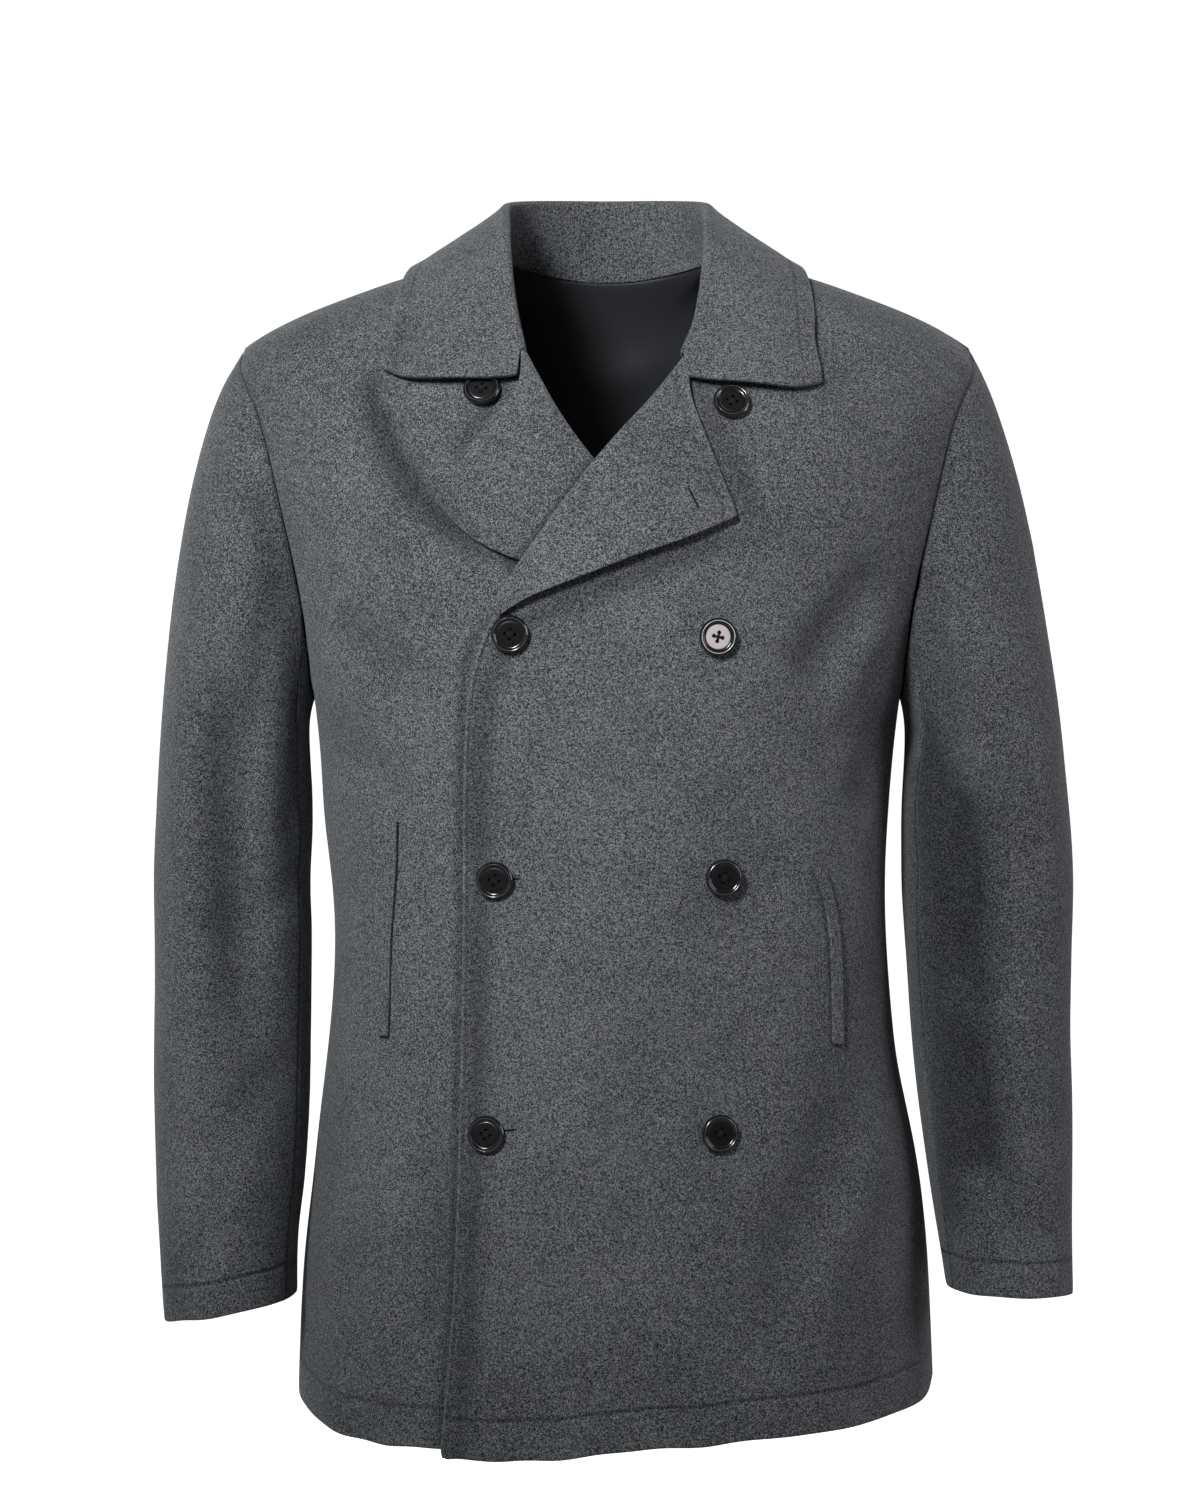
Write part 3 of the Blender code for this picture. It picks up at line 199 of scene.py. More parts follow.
def seam_group():
    """Stitches sunk in thick cloth at a set distance from an edge, and a highlight painted along the
    edge.
    """
    group = bpy.data.node_groups.new("sewn_edge", "ShaderNodeTree")
    for name, value in (("Distance", 1.0), ("Place", 0.01), ("Width", 0.0022), ("Along", 0.0),
                        ("Stitch length", 0.0032), ("Hem", 1.0), ("Hem place", 0.025),
                        ("Hem width", 0.003)):
        socket(group, name, "Float", value=value)
    for name in ("Groove", "Stitch", "Hem groove", "Edge highlight"):
        socket(group, name, "Float", "OUTPUT")
    inlet = group.nodes.new("NodeGroupInput").outputs
    outlet = group.nodes.new("NodeGroupOutput").inputs

    def line(distance, place, width):
        away = maths(group, "ABSOLUTE", maths(group, "SUBTRACT", distance, place))
        return falling(group, maths(group, "DIVIDE", away, width), 1.0)

    groove = line(inlet["Distance"], inlet["Place"], inlet["Width"])
    group.links.new(groove, outlet["Groove"])
    thread_share = 0.72  # of each stitch, the rest is the cloth between two stitches
    turn = maths(group, "FRACT", maths(group, "DIVIDE", inlet["Along"], inlet["Stitch length"]))
    dash = maths(group, "MULTIPLY", maths(group, "LESS_THAN", turn, thread_share), groove)
    group.links.new(dash, outlet["Stitch"])
    group.links.new(line(inlet["Hem"], inlet["Hem place"], inlet["Hem width"]), outlet["Hem groove"])
    # The painted highlight along the edge reaches this far in.
    edge_highlight_width = 0.004
    group.links.new(falling(group, inlet["Distance"], edge_highlight_width), outlet["Edge highlight"])
    return group


heathered_wool = heather_group()
sewn_edge = seam_group()
dark_fibre, light_fibre = (0.010, 0.0105, 0.0118), (0.262, 0.272, 0.286)


def melton(name, stitch_place=-1.0, hem_place=-1.0, stitch_depth=1.0):
    """A melton material: heathered grey, a soft nap that catches light, grooves where it is sewn.

    Shade is painted into its grooves and creases, and a highlight along its stitched edges.
    """
    made, tree, shader = material(name, Specular_IOR_Level=0.18, Sheen_Weight=0.12,
                                  Sheen_Roughness=0.55, Sheen_Tint=(0.86, 0.88, 0.92, 1))
    wool = node(tree, "Group", node_tree=heathered_wool, in_Contrast=7.4, in_Cloud=0.30,
                in_Dark_fibre=(*dark_fibre, 1), in_Light_fibre=(*light_fibre, 1))
    tree.links.new(node(tree, "TexCoord").outputs["Object"], wool.inputs["Position"])
    sewn = node(tree, "Group", node_tree=sewn_edge, in_Place=stitch_place, in_Hem_place=hem_place)
    for attribute, inlet in (("edge_distance", "Distance"), ("edge_along", "Along"),
                             ("hem_distance", "Hem")):
        tree.links.new(stored(tree, attribute), sewn.inputs[inlet])
    groove, stitch, hem_groove = (sewn.outputs[outlet] for outlet in ("Groove", "Stitch", "Hem groove"))

    painted_shade_tone = (0.3, 0.3, 0.31)  # of the cloth's own colour, where the painted shade is darkest
    # Painted shade: the cloth is darker in its stitch and hem grooves, and by the shade stored at its
    # points.
    flat = maths(tree, "ADD", maths(tree, "MULTIPLY", groove, 0.2 * stitch_depth),
                 maths(tree, "MULTIPLY", hem_groove, 0.16), clamp=True)
    flat = maths(tree, "ADD", flat, stored(tree, "painted_shade"), clamp=True)
    cloth = blend(tree, flat, wool.outputs["Color"], painted_shade_tone, "MULTIPLY")
    # Painted highlight: the cloth is a little lighter along its stitched edges.
    edge_highlight_tone = tuple(1.1 * part for part in light_fibre)
    cloth = blend(tree, maths(tree, "MULTIPLY", sewn.outputs["Edge highlight"], 0.08), cloth, edge_highlight_tone)
    tree.links.new(cloth, shader.inputs["Base Color"])
    tree.links.new(wool.outputs["Roughness"], shader.inputs["Roughness"])

    nap = relief(tree, wool.outputs["Height"], strength=0.9, distance=0.00044)
    depth = maths(tree, "ADD", groove, maths(tree, "MULTIPLY", stitch, 0.35))
    depth = maths(tree, "MULTIPLY", depth, stitch_depth)
    depth = maths(tree, "ADD", depth, maths(tree, "MULTIPLY", hem_groove, 0.9))
    tree.links.new(relief(tree, depth, strength=1.0, distance=0.0016, over=nap, sunk=True),
                   shader.inputs["Normal"])
    return made


def twill_lining():
    """The lining inside: a plain dark twill, with fine slanting ribs and a soft shine."""
    made, tree, shader = material("lining_twill", Specular_IOR_Level=0.35)
    slant = node(tree, "Mapping", in_Rotation=(0.4, 0.7, 0.5))
    tree.links.new(node(tree, "TexCoord").outputs["Object"], slant.inputs["Vector"])
    twill = node(tree, "TexWave", in_Scale=420.0, in_Distortion=0.6, in_Detail=1.0)
    tree.links.new(slant.outputs[0], twill.inputs["Vector"])
    ribs = twill.outputs["Fac"]
    tone = blend(tree, ribs, (0.018, 0.018, 0.021), (0.034, 0.034, 0.038))
    tree.links.new(tone, shader.inputs["Base Color"])
    matt = maths(tree, "ADD", maths(tree, "MULTIPLY", ribs, 0.2), 0.45)
    tree.links.new(matt, shader.inputs["Roughness"])
    tree.links.new(relief(tree, ribs, strength=0.4, distance=0.0002), shader.inputs["Normal"])
    return made


coat_lining = twill_lining()
plain_wool = melton("melton_panel", hem_place=0.0245)


def sleeve_middle(side, z):
    """The middle line of a sleeve, on the wearer's left (1) or right (-1), at a height."""
    heights = [-0.70, -0.60, -0.50, -0.40, -0.30, -0.20, -0.06]
    across = [0.262, 0.256, 0.252, 0.249, 0.240, 0.226, 0.205]
    behind = [-0.030, -0.022, -0.012, -0.004, 0.0, 0.004, 0.0]
    return side * np.interp(z, heights, across), np.interp(z, heights, behind)


def outward(points, piece):
    """Which way is out at each point: away from the middle of the body, or of the sleeve."""
    if piece.startswith("sleeve"):
        x, y = sleeve_middle(1 if piece.endswith("left") else -1, points[:, 2])
        across, behind = points[:, 0] - x, points[:, 1] - y
    else:
        body_half_width, body_half_depth = 0.2, 0.135
        across, behind = points[:, 0] / body_half_width ** 2, points[:, 1] / body_half_depth ** 2
    away = np.stack([across, behind, np.zeros(len(points))], axis=-1)
    return away / np.maximum(np.linalg.norm(away, axis=-1, keepdims=True), 1e-9)


def smooth(value):
    """From 0 to 1 in a soft S, and level outside that."""
    value = np.clip(value, 0, 1)
    return value * value * (3 - 2 * value)


def creases(rows, across, up, ends=0.3):
    """Soft troughs (below 0) and ridges, each along a line of points, as wide and deep as its row."""
    total = np.zeros(len(up))
    spot = np.stack([across, up], axis=-1)
    end_depth = 0.25  # where on its soft rise a crease starts and ends
    for line, width, depth in rows:
        line = np.array(line) / 1000
        width, depth = width / 1000, depth / 1000
        best = np.full(len(up), np.inf)
        along = np.zeros(len(up))
        run = 0.0
        whole = np.linalg.norm(np.diff(line, axis=0), axis=1).sum()
        for start, end in zip(line, line[1:]):
            step = end - start
            length = np.linalg.norm(step)
            share = np.clip((spot - start) @ step / length ** 2, 0, 1)
            away = np.linalg.norm(spot - start - share[:, None] * step, axis=-1)
            nearer = away < best
            best = np.where(nearer, away, best)
            along = np.where(nearer, (run + share * length) / whole, along)
            run += length
        swell = smooth(np.minimum(along, 1 - along) / ends + end_depth)
        total += depth * swell * np.exp(-(best / width) ** 2)
    return total


# Creases of the cloth, from ahead and from behind: lines of (x, z), width and depth, in millimetres.
front_creases = [
    ([(-153, -92), (-138, -138), (-119, -166), (-99, -187), (-80, -200)], 10, -6.5),
    ([(-66, -97), (-82, -118), (-96, -137)], 6, -2.4),
    ([(-118, -46), (-138, -66), (-154, -92)], 12, -3.6),
    ([(126, -50), (146, -72), (158, -100)], 13, -3.0),
    ([(-150, -150), (-140, -178), (-124, -200)], 12, 3.5),
    ([(178, -200), (150, -240), (118, -285)], 15, -6.0),
    ([(182, -236), (160, -270), (140, -312)], 11, 3.9),
    ([(186, -290), (172, -330), (160, -372)], 13, -4.5),
    ([(-176, -236), (-150, -262), (-118, -280)], 14, -4.5),
    ([(-184, -300), (-160, -330), (-128, -352)], 13, -3.9),
    ([(150, -540), (120, -620), (92, -718)], 17, -5.6),
    ([(176, -566), (150, -640), (122, -700)], 14, 4.5),
    ([(-112, -566), (-106, -640), (-110, -706)], 12, -4.2),
    ([(-140, -590), (-146, -660), (-150, -730)], 15, 4.2),
    ([(20, -470), (10, -560), (16, -650)], 24, -3.1),
    ([(-60, -430), (-30, -450), (10, -452)], 16, 2.4),
    ([(40, -300), (20, -330), (-20, -345)], 20, -2.3),
    ([(110, -380), (80, -430), (40, -450)], 20, -2.8),
    ([(60, -610), (44, -690), (50, -750)], 20, 3.1),
]
back_creases = [
    ([(-170, -190), (-120, -225), (-60, -240)], 16, -5.2),
    ([(172, -196), (120, -222), (70, -246)], 15, -5.6),
    ([(-180, -262), (-130, -300), (-70, -318)], 17, -4.2),
    ([(182, -250), (136, -292), (76, -300)], 14, 3.9),
    ([(-40, -60), (0, -74), (44, -58)], 13, -3.1),
    ([(-20, -400), (-26, -520), (-16, -700)], 22, 3.9),
    ([(70, -420), (84, -560), (80, -720)], 24, -4.5),
    ([(-104, -440), (-112, -580), (-100, -730)], 22, -4.5),
    ([(150, -520), (146, -620), (152, -720)], 17, 3.9),
    ([(-90, -340), (-30, -360), (40, -350)], 18, -3.0),
]

# The panels that are sewn together edge to edge, the three of the body first, with the points of each.
panels = ["back", "front_left", "front_right", "sleeve_top_left", "sleeve_top_right",
          "sleeve_under_left", "sleeve_under_right"]
panel_points = {panel: nearest_among([vertex.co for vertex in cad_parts[panel].data.vertices])
                for panel in panels}
seam_reach = 0.0012


def from_body(spot):
    """How far a point is from the nearest panel of the body."""
    return min(panel_points[body].find(spot)[2] for body in panels[:3])


armholes = nearest_among([vertex.co.copy() for sleeve in panels[3:]
                          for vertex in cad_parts[sleeve].data.vertices
                          if from_body(vertex.co) < seam_reach])


def sewn_partner(spot, name):
    """The nearest point of a panel that is sewn to this one here, or None."""
    if name not in panels:
        return None
    near = [panel_points[panel].find(spot) for panel in panels
            if panel != name and not (panel.startswith("front") and name.startswith("front"))]
    partner = min(near, key=lambda found: found[2])
    return partner[0] if partner[2] < seam_reach else None


def press_creases(points, piece, painted_shade_rows):
    """The points of a piece moved in and out with its creases, and the shade painted on it there.

    The cloth stays in place where the sleeves are sewn on. Shade is painted in the troughs, and the
    shade rows only darken it."""
    out = outward(points, piece)
    ahead = smooth(0.5 - 1.1 * out[:, 1])  # 1 ahead, 0 behind, and soft between at the sides
    x, y, z = points.T
    if piece.startswith("sleeve"):
        rows_ahead, rows_behind = sleeve_creases[piece.rsplit("_", 1)[1]]
        fade = np.ones(len(points))
    else:
        rows_ahead, rows_behind = front_creases, back_creases
        fade = smooth(np.abs(out[:, 1]) / 0.5)  # no creases run round the sides of the body
    depth = fade * (ahead * creases(rows_ahead, x, z) + (1 - ahead) * creases(rows_behind, x, z))
    armhole_ease = 0.035  # how far from an armhole the creases have their full depth
    away = np.array([armholes.find(spot)[2] for spot in points])
    moved = points + (depth * smooth(away / armhole_ease))[:, None] * out

    low = smooth((-0.62 - z) / 0.09)  # from just above the cuffs down to the hem
    hem_rise, hem_sway = 0.0007, 0.0011  # of waves about 4 to 9 cm long
    wave = np.sin(61 * x + 37 * y) + 0.6 * np.sin(143 * x - 91 * y + 1.3)
    moved[:, 2] += hem_rise * wave * low
    moved += (hem_sway * np.sin(97 * x - 58 * y + 0.7) * low)[:, None] * out
    if piece == "collar":
        end_shift = 0.008  # the left front end comes in to meet the lapel
        moved[:, 0] -= (end_shift * smooth((x - 0.034) / 0.03) * smooth((0.105 - x) / 0.05)
                        * smooth((-0.045 - z) / 0.04))
    if piece == "front_right":
        hem_lift = 0.006  # the covered corner hangs a little higher than the front on top of it
        moved[:, 2] += hem_lift * smooth((x + 0.095) / 0.04) * smooth((-0.69 - z) / 0.06)

    # Painted shade: the cloth is coloured darker in the creases' troughs and along the shade rows.
    darkest_depth, trough_shade = 0.008, 0.42
    shade = np.clip(-depth / darkest_depth, 0, 1) * trough_shade
    rows = [(line, width, strength * 1000) for line, width, strength in painted_shade_rows]
    shade += ahead * creases(rows, x, z, ends=0.06)
    return moved, np.clip(shade, 0, 0.9)


def rim_chain(bm, chosen):
    """The chosen corner edges of a wall, as points in order with the length run up to each."""
    links = {}
    for edge in chosen:
        for vertex in edge.verts:
            links.setdefault(vertex, []).append(edge.other_vert(vertex))
    spots, runs, ways = [], [], []
    seen = set()
    starts = [v for v in links if len(links[v]) == 1] + list(links)
    for start in starts:
        current, run = start, 0.0
        while current is not None and current not in seen:
            seen.add(current)
            spots.append(current.co.copy())
            runs.append(run)
            following = next((v for v in links[current] if v not in seen), None)
            way = ways[-1] if ways else Vector((0, 0, 1))
            if following:
                way = following.co - current.co
                run += way.length
            ways.append(way.normalized())
            current = following
    return spots, runs, ways


def join_seams(bm, name, corner_crease):
    """Keep the corner edges of a wall, and draw the sewn ones halfway to the panel beside them.

    Gives points 1 mm apart along the seams."""
    crease = bm.edges.layers.float.new("crease_edge")
    pin = bm.verts.layers.float.new("crease_vert")
    partners = {vertex: sewn_partner(vertex.co, name) for vertex in bm.verts}
    seam_spots = []
    corner_angle = math.radians(57)
    for side in bm.edges:
        if side.calc_face_angle(0) > corner_angle:
            sewn = all(partners[vertex] for vertex in side.verts)
            side[crease] = 1.0 if sewn else corner_crease
            if sewn:
                start, end = ((vertex.co + partners[vertex]) / 2 for vertex in side.verts)
                steps = max(1, int((end - start).length / 0.001))
                seam_spots += [start.lerp(end, step / steps) for step in range(steps + 1)]
    joined = [vertex for vertex in bm.verts if partners[vertex]]
    straight = -math.cos(math.radians(30))
    for vertex in joined:
        corners = [side for side in vertex.link_edges if side[crease]]
        ways = [(side.other_vert(vertex).co - vertex.co).normalized() for side in corners]
        turned = len(ways) == 2 and ways[0].dot(ways[1]) > straight
        vertex[pin] = 1.0 if len(corners) > 2 or turned else 0.0
    for vertex in joined:
        vertex.co = (vertex.co + partners[vertex]) / 2
    return seam_spots


def sink_seams(points, shades, still, seam_spots, name):
    """The points and shades of a piece, deeper where its still points are near a seam, and darker there
    with painted shade.
    """
    seam_width, seam_depth, seam_shade = 0.0016, 0.0007, 0.55
    seam = nearest_among(seam_spots)
    away = np.array([seam.find(spot)[2] for spot in still])
    near = np.exp(-(away / seam_width) ** 2)
    return (points - (seam_depth * near)[:, None] * outward(points, name),
            np.clip(shades + seam_shade * near, 0, 0.95))


def measure_edge(bm, rim, name, attribute, chosen, along=None, sink=0.0):
    """Store how far each point is from the chosen edges.

    Where along names a second value, that is how far along them the point is, and the cloth is then
    rolled up at the edge and sunk at the stitches."""
    layer = bm.verts.layers.float.new(attribute)
    run_layer = bm.verts.layers.float.new(along) if along else None
    sides = [side for side in rim if chosen and chosen(
        (side.verts[0].co + side.verts[1].co) / 2, (side.verts[0].co - side.verts[1].co).normalized())]
    if not sides:
        for vertex in bm.verts:
            vertex[layer] = 1.0
        return
    spots, runs, ways = rim_chain(bm, sides)
    tree = nearest_among(spots)
    roll_rise, roll_width, stitch_place, stitch_width = 0.0007, 0.004, 0.0095, 0.0042
    for vertex, way in zip(bm.verts, outward(np.array([v.co for v in bm.verts]), name)):
        spot, place, away = tree.find(vertex.co)
        vertex[layer] = away
        if along:
            vertex[run_layer] = runs[place] + (vertex.co - spot).dot(ways[place])
            roll = (roll_rise * math.exp(-(away / roll_width) ** 2)
                    - sink * math.exp(-((away - stitch_place) / stitch_width) ** 2))
            vertex.co += Vector(way) * roll


def cloth_shell(name, levels, wool, edge=None, hem=None, lined=True, sink=0.0004, painted_shade_rows=()):
    """A sewn piece: its wall made smooth, its edges rounded, its creases pressed in."""
    bm = bmesh.new()
    bm.from_mesh(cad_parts[name].data)
    bmesh.ops.remove_doubles(bm, verts=bm.verts, dist=0.00003)
    bmesh.ops.join_triangles(bm, faces=bm.faces, angle_face_threshold=math.radians(38),
                             angle_shape_threshold=math.radians(70))
    seam_spots = join_seams(bm, name, corner_crease=math.sqrt((levels - 0.7) / 10))
    piece = put(name + "_cloth", mesh_from(bm, name + "_cloth"))
    finer = piece.modifiers.new("finer", "SUBSURF")
    finer.levels = finer.render_levels = levels
    bpy.context.view_layer.update()
    dense = bpy.data.meshes.new_from_object(piece.evaluated_get(bpy.context.evaluated_depsgraph_get()))
    piece.modifiers.clear()
    piece.data = dense

    bm = bmesh.new()
    bm.from_mesh(dense)
    rim_angle = math.radians(24)
    narrow = 0.0009  # only across a wall's thickness are faces narrower than this
    rim = [side for side in bm.edges if side.calc_face_angle(0) > rim_angle
           and min(face.calc_area() / max(e.calc_length() for e in face.edges)
                   for face in side.link_faces) < narrow]
    held = {vertex for side in rim for vertex in side.verts}
    free = [vertex for vertex in bm.verts if vertex not in held]
    for _ in range(3):
        bmesh.ops.smooth_vert(bm, verts=free, factor=0.5,
                              use_axis_x=True, use_axis_y=True, use_axis_z=True)
    still = np.array([vertex.co for vertex in bm.verts])
    points, shades = press_creases(still, name, painted_shade_rows)
    if seam_spots:
        points, shades = sink_seams(points, shades, still, seam_spots, name)
    # The painted shade, stored at each point for the material to darken the cloth by.
    painted_shade_layer = bm.verts.layers.float.new("painted_shade")
    for vertex, spot, shade in zip(bm.verts, points, shades):
        vertex.co = spot
        vertex[painted_shade_layer] = shade
    measure_edge(bm, rim, name, "edge_distance", edge, "edge_along", sink)
    measure_edge(bm, rim, name, "hem_distance", hem)
    bm.to_mesh(dense)
    bm.free()

    dense.materials.clear()
    dense.materials.append(wool)
    if lined:
        dense.materials.append(coat_lining)
        middles = np.array([face.center for face in dense.polygons])
        normals = np.array([face.normal for face in dense.polygons])
        way = outward(middles, name)
        way[:, 2] = 2.2 * smooth((middles[:, 2] + 0.11) / 0.06)  # near the shoulders, out is up
        inside = (way * normals).sum(axis=-1) < -0.2
        dense.polygons.foreach_set("material_index", inside.astype(np.int32))
    dense.shade_smooth()
    dense.name = name + "_cloth"
    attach(piece, "root")
    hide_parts(name)
    return piece


def hem_edge(spot, way):
    """Whether an edge, by its middle and its way, is a part of the hem: low down and near level."""
    return spot.z < -0.66 and abs(way.z) < 0.62


back = cloth_shell("back", 2, plain_wool, hem=hem_edge)

# ---- The fronts
# Two panels of the same melton, the wearer's left one lapped over the right. The left one's free edge
# is stitched close in, and it holds the buttonholes.

# Painted shade on the fronts: dark lines where other layers lie close over a front, and broad, weak
# rows only a little darker than the cloth round them. Lines of (x, z) and width in millimetres, and
# strength.
painted_shade_right = [
    ([(-68, -236), (-78, -246), (-85, -258), (-90, -275), (-92, -300), (-93, -482), (-95, -575),
      (-100, -685), (-107, -780)], 3.5, 0.75),
    ([(-63, -200), (-58, -218)], 5, 0.95),
    ([(-62, -90), (-82, -118), (-98, -140)], 6, 0.35),
    ([(-156, -84), (-152, -106), (-138, -138), (-119, -166), (-98, -188), (-70, -203)], 9, 0.5),
]
painted_shade_left = [
    ([(92, -186), (50, -202), (15, -215), (-13, -226), (-37, -236), (-54, -248), (-66, -262),
      (-76, -290), (-80, -330), (-81, -482), (-83, -575), (-88, -685), (-96, -790)], 8, 0.62),
    ([(56, -90), (69, -121), (80, -145), (94, -180)], 9, 0.5),
    ([(58, -84), (90, -90), (130, -92)], 7, 0.4),
    ([(66, -330), (62, -480), (66, -640)], 32, 0.2),
    ([(150, -440), (154, -600), (160, -740)], 36, 0.22),
]


def front_edge(spot, way):
    """Whether an edge is a part of the left front's free side, which runs down the lap."""
    return -0.115 < spot.x < -0.06 and spot.z < -0.25 and abs(way.z) > 0.75


front_wool = melton("melton_front", stitch_place=0.0034, hem_place=0.0245, stitch_depth=0.5)
front_right = cloth_shell("front_right", 3, plain_wool, hem=hem_edge, painted_shade_rows=painted_shade_right)
front_left = cloth_shell("front_left", 3, front_wool, edge=front_edge, hem=hem_edge, sink=0.0022,
                         painted_shade_rows=painted_shade_left)

# ---- The sleeves
# Each sleeve is cut in two, a broad outer half and a narrow under half, joined down the forearm and
# the elbow and eased into the armhole. The cuffs are turned up and stitched inside.
sleeve_creases = {
    "left": ([
        ([(196, -190), (214, -250), (232, -330)], 13, -5.6),
        ([(226, -232), (240, -300), (252, -380)], 13, 4.5),
        ([(200, -300), (222, -350), (246, -390)], 12, -4.6),
        ([(226, -340), (236, -420), (240, -540), (246, -620)], 19, -6.5),
        ([(282, -300), (286, -380), (288, -500)], 13, 4.4),
        ([(214, -470), (240, -500), (284, -496)], 13, 3.5),
        ([(226, -540), (246, -580), (268, -640)], 14, -3.9),
        ([(240, -120), (252, -150), (262, -200)], 14, 2.8),
    ], [
        ([(206, -210), (230, -270), (262, -300)], 15, -5.2),
        ([(216, -380), (246, -420), (290, -430)], 13, -5.6),
        ([(214, -450), (246, -480), (292, -480)], 13, 4.2),
        ([(224, -520), (250, -560), (290, -600)], 15, -4.2),
    ]),
    "right": ([
        ([(-208, -196), (-222, -250), (-236, -330)], 13, -4.9),
        ([(-253, -260), (-246, -380), (-238, -522)], 15, -6.0),
        ([(-268, -240), (-274, -360), (-270, -470)], 14, 3.9),
        ([(-214, -300), (-220, -380), (-216, -460)], 12, 3.5),
        ([(-206, -410), (-232, -440), (-280, -440)], 13, -3.3),
        ([(-212, -520), (-236, -560), (-268, -580)], 14, -3.9),
        ([(-220, -600), (-250, -624), (-284, -620)], 14, 3.1),
    ], [
        ([(-206, -214), (-232, -270), (-266, -310)], 15, -5.2),
        ([(-214, -370), (-246, -410), (-290, -440)], 13, -5.6),
        ([(-212, -440), (-246, -480), (-288, -500)], 13, 3.9),
        ([(-222, -540), (-250, -570), (-286, -590)], 15, -3.9),
    ]),
}
# Painted shade on the sleeves: bands darker beside the body, as lines of (x, z) and width in
# millimetres, and strength.
painted_shade_outer = {
    "left": [([(226, -350), (234, -420), (237, -500), (240, -600)], 17, 0.58),
             ([(198, -300), (206, -380), (214, -480), (222, -640)], 13, 0.66),
             ([(193, -253), (214, -330), (232, -424)], 11, 0.36)],
    "right": [([(-230, -150), (-212, -240), (-192, -340)], 10, 0.42),
              ([(-262, -240), (-252, -400), (-245, -560)], 20, 0.24)],
}
painted_shade_under = {"left": [([(206, -330), (214, -420), (222, -520)], 19, 0.6)], "right": []}


def cuff_edge(spot, way):
    """Whether an edge is a part of the cuff: low down and near level."""
    return spot.z < -0.62 and abs(way.z) < 0.7


sleeve_wool = melton("melton_sleeve", hem_place=0.0215)
for side in ("left", "right"):
    outer_half = cloth_shell("sleeve_top_" + side, 3, sleeve_wool, hem=cuff_edge,
                             painted_shade_rows=painted_shade_outer[side])
    under_half = cloth_shell("sleeve_under_" + side, 3, sleeve_wool, hem=cuff_edge,
                             painted_shade_rows=painted_shade_under[side])

# ---- The lapels
# The upper corners of the fronts, faced with the same melton and turned back over a soft roll. The left
# one is stitched 7 mm inside its outer edge; the right one goes in under the left front.
# Painted shade: a dark line along where the right lapel goes in under the left front.
painted_shade_lapels = {"left": [], "right": [([(-2, -133), (-22, -160), (-40, -184), (-60, -210)], 3, 0.8)]}


def lapel_edge(spot, way):
    """Whether an edge is a part of the lapel's outer side."""
    beyond = 0.043 - 0.35 * (spot.z + 0.074)  # a slanting line from the notch to the lapel's point
    return spot.z < -0.06 and spot.x > beyond and abs(way.z) > 0.6


lapel_wool = melton("melton_lapel", stitch_place=0.0072, stitch_depth=0.5)
for side in ("left", "right"):
    lapel = cloth_shell("lapel_" + side, 3, lapel_wool if side == "left" else plain_wool,
                        edge=lapel_edge, lined=False, painted_shade_rows=painted_shade_lapels[side])

# ---- The collar
# A broad collar in one with its stand: it rises from the neck seam, rolls over and lies on the
# shoulders. Two layers of melton, stitched 10 mm inside the outer edge.
collar_wool = melton("melton_collar", stitch_place=0.0100, stitch_depth=0.4)


def collar_edge(spot, way):
    """Whether an edge is a part of the collar's outer edge, on the shoulders or behind."""
    return (abs(spot.x) > 0.11 and spot.z > -0.078) or spot.y > 0.075


collar = cloth_shell("collar", 3, collar_wool, edge=collar_edge, lined=False)

# ---- The pocket welts
# A narrow standing welt of doubled melton along the mouth of each hand pocket, sewn to the front
# along one side.
for side in ("left", "right"):
    welt = cloth_shell("pocket_welt_" + side, 3, plain_wool, lined=False)

# ---- The buttons
# Eight four-hole buttons of cast resin with a raised rim and a dished middle, each sewn on with two
# crossed pairs of strands. All are black; the dish of one has a pale face.


def pattern(tree, kind, **settings):
    """A texture laid in the object's own coordinates, as a grey value."""
    made = node(tree, kind, **settings)
    tree.links.new(node(tree, "TexCoord").outputs["Object"], made.inputs["Vector"])
    return made.outputs["Fac"]


def resin(name, dish_tone, crest_highlight_tone):
    """Cast resin: glossy black, with a highlight painted along the crest of the rim, and its dish in a
    tone of its own.
    """
    made, tree, shader = material(name, Coat_Roughness=0.08)
    swirl = pattern(tree, "TexNoise", in_Scale=260.0, in_Detail=4.0, in_Distortion=1.2)
    dished = stored(tree, "dish")
    black = blend(tree, swirl, (0.004, 0.004, 0.005), (0.014, 0.013, 0.015))
    tone = blend(tree, maths(tree, "MULTIPLY", dished, 0.85), black, dish_tone)
    tree.links.new(blend(tree, stored(tree, "crest_highlight"), tone, crest_highlight_tone), shader.inputs["Base Color"])
    matt = maths(tree, "ADD", maths(tree, "MULTIPLY", swirl, 0.14), 0.12)
    matt = maths(tree, "ADD", maths(tree, "MULTIPLY", dished, 0.34), matt)
    tree.links.new(matt, shader.inputs["Roughness"])
    raised = maths(tree, "SUBTRACT", 1.0, dished)
    tree.links.new(maths(tree, "MULTIPLY", raised, 0.45), shader.inputs["Coat Weight"])
    tree.links.new(maths(tree, "ADD", maths(tree, "MULTIPLY", raised, 0.5), 0.1),
                   shader.inputs["Specular IOR Level"])
    tree.links.new(relief(tree, swirl, strength=0.25, distance=0.0001), shader.inputs["Normal"])
    return made


